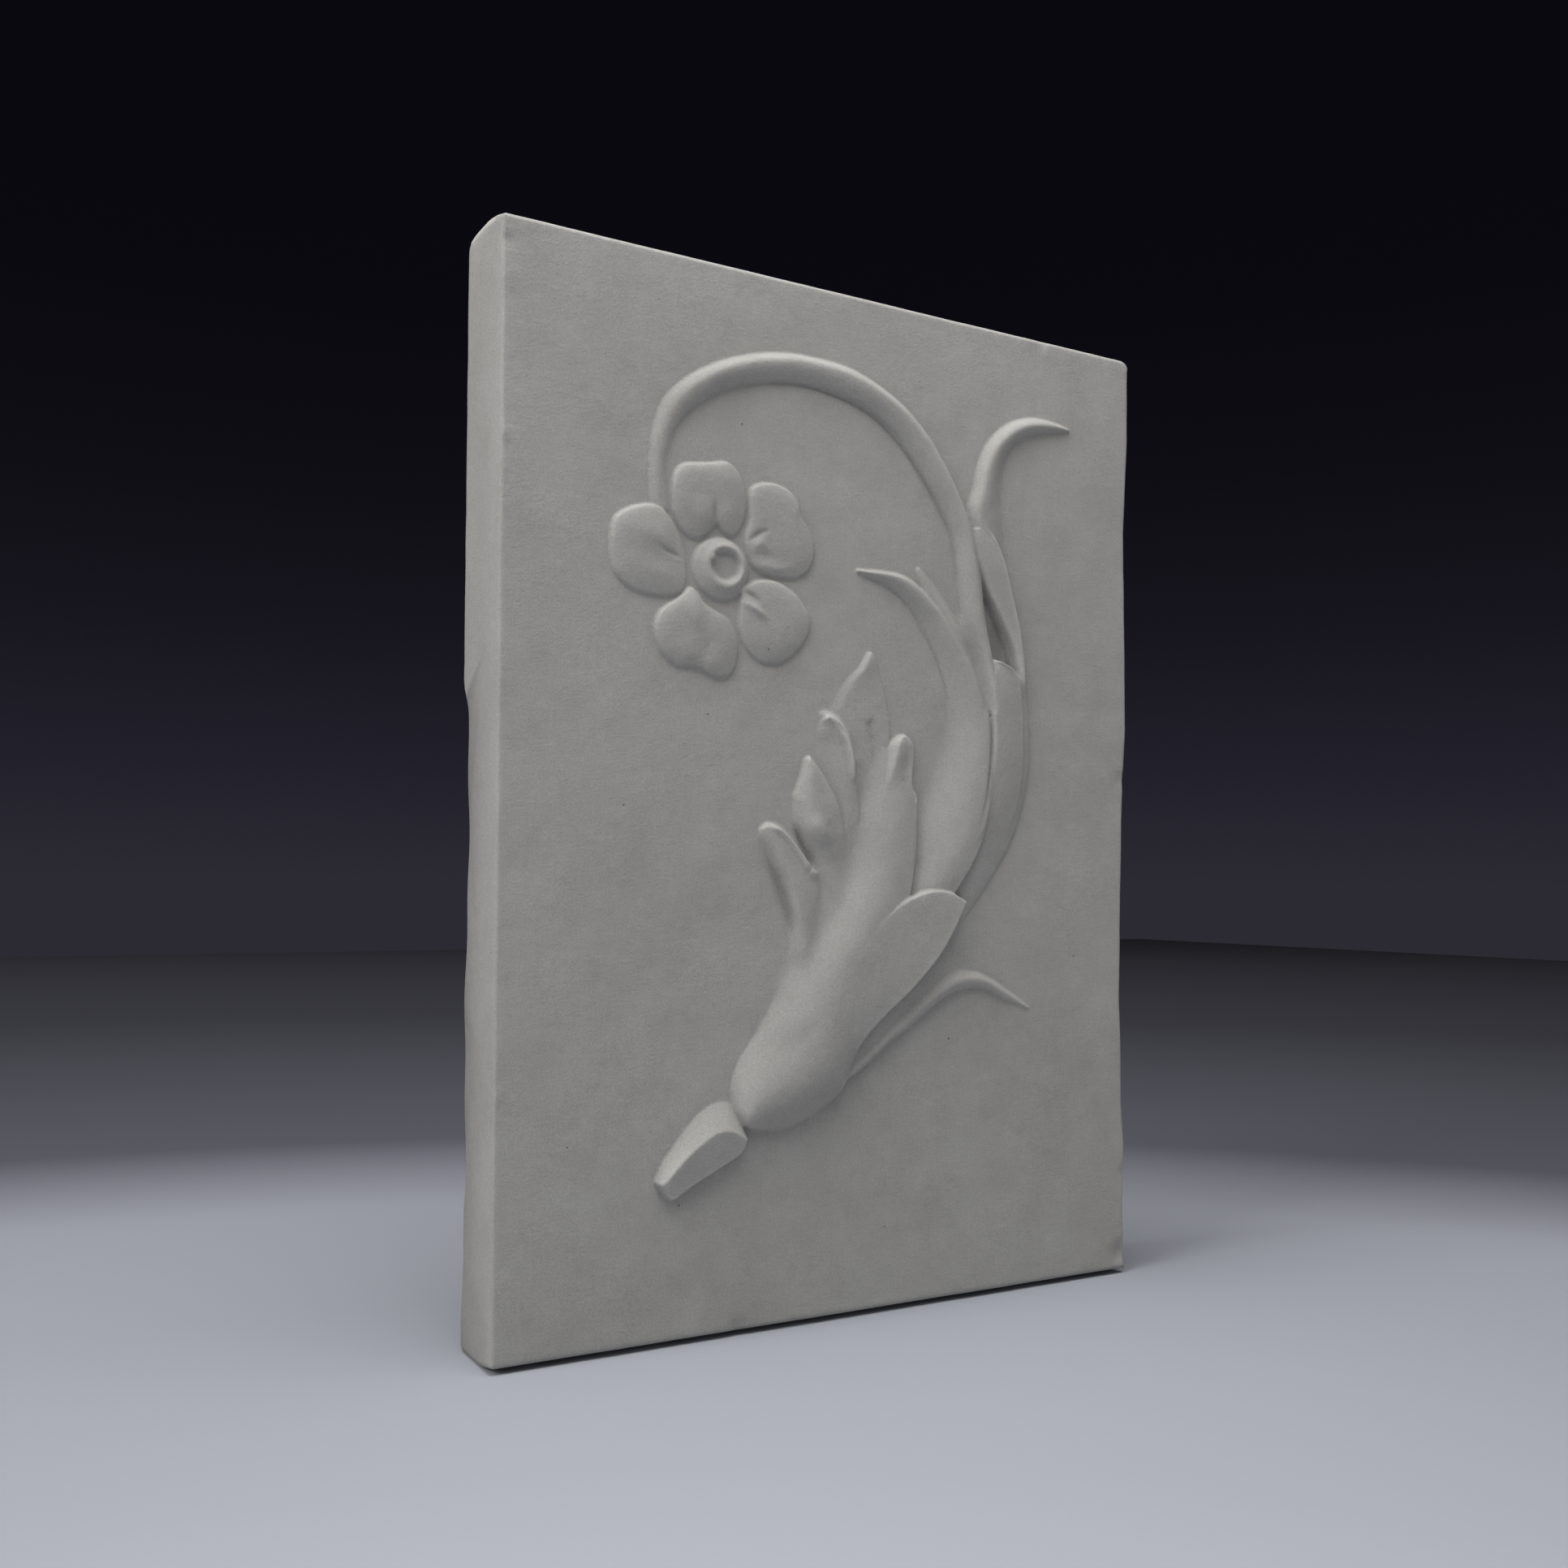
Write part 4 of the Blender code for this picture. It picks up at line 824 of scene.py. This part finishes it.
class Socket:
    """A value in a material, worked on with plain sums."""

    def __init__(self, tree, link):
        self.tree, self.link = tree, link

    def sum(self, operation, *others, swap=False):
        """One Math node."""
        terms = [self, *others]
        if swap:
            terms.reverse()
        return self.node("ShaderNodeMath", {"operation": operation}, dict(enumerate(terms)))

    def node(self, kind, settings=None, values=None, out=0):
        """Any node: its settings first, then its sockets' values or links."""
        made = self.tree.nodes.new(kind)
        for name, setting in (settings or {}).items():
            if name == "stops":
                ramp = made.color_ramp
                while len(ramp.elements) < len(setting):
                    ramp.elements.new(0.5)
                for element, (share, tint) in zip(ramp.elements, setting):
                    element.position, element.color = share, (*tint, 1)
            else:
                setattr(made, name, setting)
        for name, value in (values or {}).items():
            if isinstance(value, Socket):
                self.tree.links.new(value.link, made.inputs[name])
            else:
                made.inputs[name].default_value = value
        return Socket(self.tree, made.outputs[out])

    def __add__(self, other):
        return self.sum("ADD", other)

    def __sub__(self, other):
        return self.sum("SUBTRACT", other)

    def __rsub__(self, other):
        return self.sum("SUBTRACT", other, swap=True)

    def __mul__(self, other):
        return self.sum("MULTIPLY", other)

    def __truediv__(self, other):
        return self.sum("DIVIDE", other)

    __radd__ = __add__
    __rmul__ = __mul__


plaster = bpy.data.materials.new("dry_cast_plaster")
plaster.use_nodes = True
tree = plaster.node_tree
shader = tree.nodes["Principled BSDF"]
place = Socket(tree, tree.nodes.new("ShaderNodeTexCoord").outputs["Object"])


def grain(size, detail=3.0):
    """Noise with lumps of a size in metres."""
    return place.node("ShaderNodeTexNoise", {}, {"Vector": place, "Scale": 1 / size, "Detail": detail})


def streaks(squeeze, size):
    """Noise drawn out along the axis whose share in squeeze is small."""
    drawn_out = place.node(
        "ShaderNodeVectorMath", {"operation": "MULTIPLY"}, {0: place, 1: squeeze}, "Vector")
    return place.node("ShaderNodeTexNoise", {}, {"Vector": drawn_out, "Scale": 1 / size, "Detail": 2.0})


def holes(spacing, radius):
    """Sparse round spots, 1 in the middle and 0 outside."""
    away = place.node("ShaderNodeTexVoronoi", {}, {"Vector": place, "Scale": 1 / spacing}, "Distance")
    return (1 - away * (spacing / radius)).sum("MAXIMUM", 0.0)


broad, middling, small = (grain(size) * share for size, share in BLOTCHES)
blotch = broad + middling + small
tone = place.node("ShaderNodeValToRGB", {
    "stops": ((0.28, (0.400, 0.388, 0.360)), (0.5, (0.448, 0.436, 0.408)), (0.72, (0.488, 0.478, 0.452))),
}, {"Fac": blotch})
weave = streaks((1, 1, 0.2), WEAVE_SIZE) + streaks((0.2, 1, 1), WEAVE_SIZE) - 1
speckle = grain(0.0008, 2) - 0.5
shade_and_dust_depth = place.node("ShaderNodeAttribute", {"attribute_name": "hollow"}, {}, "Fac")
# Painted shade and dust in hollows and creases, painted highlights on rims and crests.
painted_shade_and_dust = (shade_and_dust_depth * SHADE_AND_DUST_PER_MM).sum("MINIMUM", SHADE_AND_DUST_MOST).sum("MAXIMUM", SHADE_AND_DUST_LEAST)
pinholes = holes(PINHOLE_SPACING, PINHOLE_RADIUS)
above_foot = place.node("ShaderNodeSeparateXYZ", {}, {0: place}, "Z")
# Painted shade: darker towards the foot.
painted_foot_shade = FOOT_PAINTED_SHADE - above_foot * FOOT_SHADE_FADE_PER_METRE
fine_tone = 1 + weave * WEAVE_CONTRAST + speckle * SPECKLE_CONTRAST
shade = fine_tone - painted_shade_and_dust - painted_foot_shade - pinholes * PINHOLE_DARKNESS
colour = tone.node("ShaderNodeVectorMath", {"operation": "SCALE"}, {0: tone, "Scale": shade}, "Vector")
tree.links.new(colour.link, shader.inputs["Base Color"])
roughness = 0.9 + grain(0.03) * 0.08
tree.links.new(roughness.link, shader.inputs["Roughness"])
shader.inputs["Specular IOR Level"].default_value = 0.25
bumps = grain(0.0011, 2) * 0.7 + grain(0.004, 2) * 0.8 + weave * 0.25 - pinholes * 2.5
lumpy = place.node("ShaderNodeBump", {}, {"Height": bumps, "Distance": BUMP_DEPTH, "Strength": 1.0})
tree.links.new(lumpy.link, shader.inputs["Normal"])

cast.data.materials.clear()
cast.data.materials.append(plaster)
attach(cast, "root")
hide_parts("relief_panel")


# The stage: a pale floor with a painted pool of light that runs back into the dark, a camera where the
# photograph's was, and soft light, mostly from above and from the left. Its places are in metres.

CAMERA_PLACE = (-0.390, -0.6415, 0.2125)
CAMERA_TURN = math.radians(29.84)
CAMERA_TILT = math.radians(1.07)
CAMERA_ROLL = math.radians(0.44)

# In the photograph's pixels: its width, the lens's focal length, and the row that the lens faces.
PHOTO_SIZE = 1932
FOCAL_PIXELS = 1825
LENS_ROW = 1054

FILM_WIDTH = 36
FLOOR_SIZE = 7.6
FLOOR_PAINTED_LIGHT_RUN = 7

forward = Vector((
    math.sin(CAMERA_TURN) * math.cos(CAMERA_TILT),
    math.cos(CAMERA_TURN) * math.cos(CAMERA_TILT),
    math.sin(CAMERA_TILT),
))
rightward = forward.cross(Vector((0, 0, 1))).normalized()
upward = rightward.cross(forward)
rightward, upward = (rightward * math.cos(CAMERA_ROLL) + upward * math.sin(CAMERA_ROLL),
                     upward * math.cos(CAMERA_ROLL) - rightward * math.sin(CAMERA_ROLL))
camera = bpy.data.objects.new("camera", bpy.data.cameras.new("camera"))
camera.data.sensor_width = FILM_WIDTH
camera.data.lens = FILM_WIDTH * (FOCAL_PIXELS / PHOTO_SIZE)
camera.data.shift_y = (LENS_ROW - PHOTO_SIZE / 2) / PHOTO_SIZE
camera.data.clip_start = 0.01
camera.matrix_world = Matrix((
    (rightward.x, upward.x, -forward.x, CAMERA_PLACE[0]),
    (rightward.y, upward.y, -forward.y, CAMERA_PLACE[1]),
    (rightward.z, upward.z, -forward.z, CAMERA_PLACE[2]),
    (0, 0, 0, 1),
))
bpy.context.scene.collection.objects.link(camera)
bpy.context.scene.camera = camera

# The floor's paint changes with the distance from the point below the camera's place: it is a painted pool
# of light, pale near that point, dark further off and a little lighter again far away.
bpy.ops.mesh.primitive_plane_add(size=FLOOR_SIZE, location=(0, 0, 0))
floor = bpy.context.object
floor.name = "studio_floor"
floor_paint = bpy.data.materials.new("studio_floor")
floor_paint.use_nodes = True
floor_tree = floor_paint.node_tree
spot = Socket(floor_tree, floor_tree.nodes.new("ShaderNodeTexCoord").outputs["Object"])
away = spot.node("ShaderNodeVectorMath", {"operation": "DISTANCE"}, {
    0: spot, 1: (CAMERA_PLACE[0], CAMERA_PLACE[1], 0),
}, "Value")
floor_painted_light = away.node("ShaderNodeValToRGB", {"stops": (
    (0.03, (0.51, 0.527, 0.586)), (0.069, (0.42, 0.435, 0.485)), (0.0785, (0.395, 0.41, 0.457)),
    (0.109, (0.365, 0.378, 0.424)), (0.143, (0.36, 0.37, 0.42)), (0.179, (0.105, 0.107, 0.132)),
    (0.343, (0.085, 0.085, 0.11)), (0.6, (0.17, 0.17, 0.22)),
)}, {"Fac": away / FLOOR_PAINTED_LIGHT_RUN})
floor_tree.links.new(floor_painted_light.link, floor_tree.nodes["Principled BSDF"].inputs["Base Color"])
floor_tree.nodes["Principled BSDF"].inputs["Roughness"].default_value = 0.9
floor.data.materials.append(floor_paint)

bpy.context.scene.view_settings.view_transform = "Standard"
world = bpy.data.worlds.new("studio")
bpy.context.scene.world = world
world.use_nodes = True
world_tree = world.node_tree
# The dark behind is a little lighter near the floor.
outlook = Socket(world_tree, world_tree.nodes.new("ShaderNodeTexCoord").outputs["Generated"])
skyward = outlook.node("ShaderNodeSeparateXYZ", {}, {0: outlook}, "Z")
dusk = skyward.node("ShaderNodeValToRGB", {"stops": (
    (0.0, (0.0252, 0.0243, 0.0343)), (0.075, (0.0160, 0.0148, 0.0232)), (0.156, (0.0092, 0.0080, 0.0130)),
    (0.259, (0.0048, 0.0044, 0.0070)), (0.355, (0.0033, 0.0030, 0.0052)), (0.5, (0.0028, 0.0026, 0.0046)),
)}, {"Fac": skyward})
world_tree.links.new(dusk.link, world_tree.nodes["Background"].inputs["Color"])
world_tree.nodes["Background"].inputs["Strength"].default_value = 1.0


def softbox(name, stand, aim, size, power):
    """A square soft light of a width in metres and a power in watts, that faces a point."""
    lamp = bpy.data.lights.new(name, "AREA")
    lamp.shape, lamp.size, lamp.energy = "SQUARE", size, power
    holder = bpy.data.objects.new(name, lamp)
    holder.location = stand
    holder.rotation_euler = (Vector(aim) - Vector(stand)).to_track_quat("-Z", "Y").to_euler()
    bpy.context.scene.collection.objects.link(holder)


softbox("overhead", (-0.28, -0.32, 1.80), (0, 0, 0.25), 1.2, 24)
softbox("ceiling", (0.25, -0.90, 1.95), (0, 0, 0.25), 2.2, 8)
softbox("left", (-3.0, -0.44, 2.4), (0, 0, 0.45), 1.8, 68)
softbox("fill", (0.9, -2.2, 0.60), (0, 0, 0.25), 1.6, 4.5)
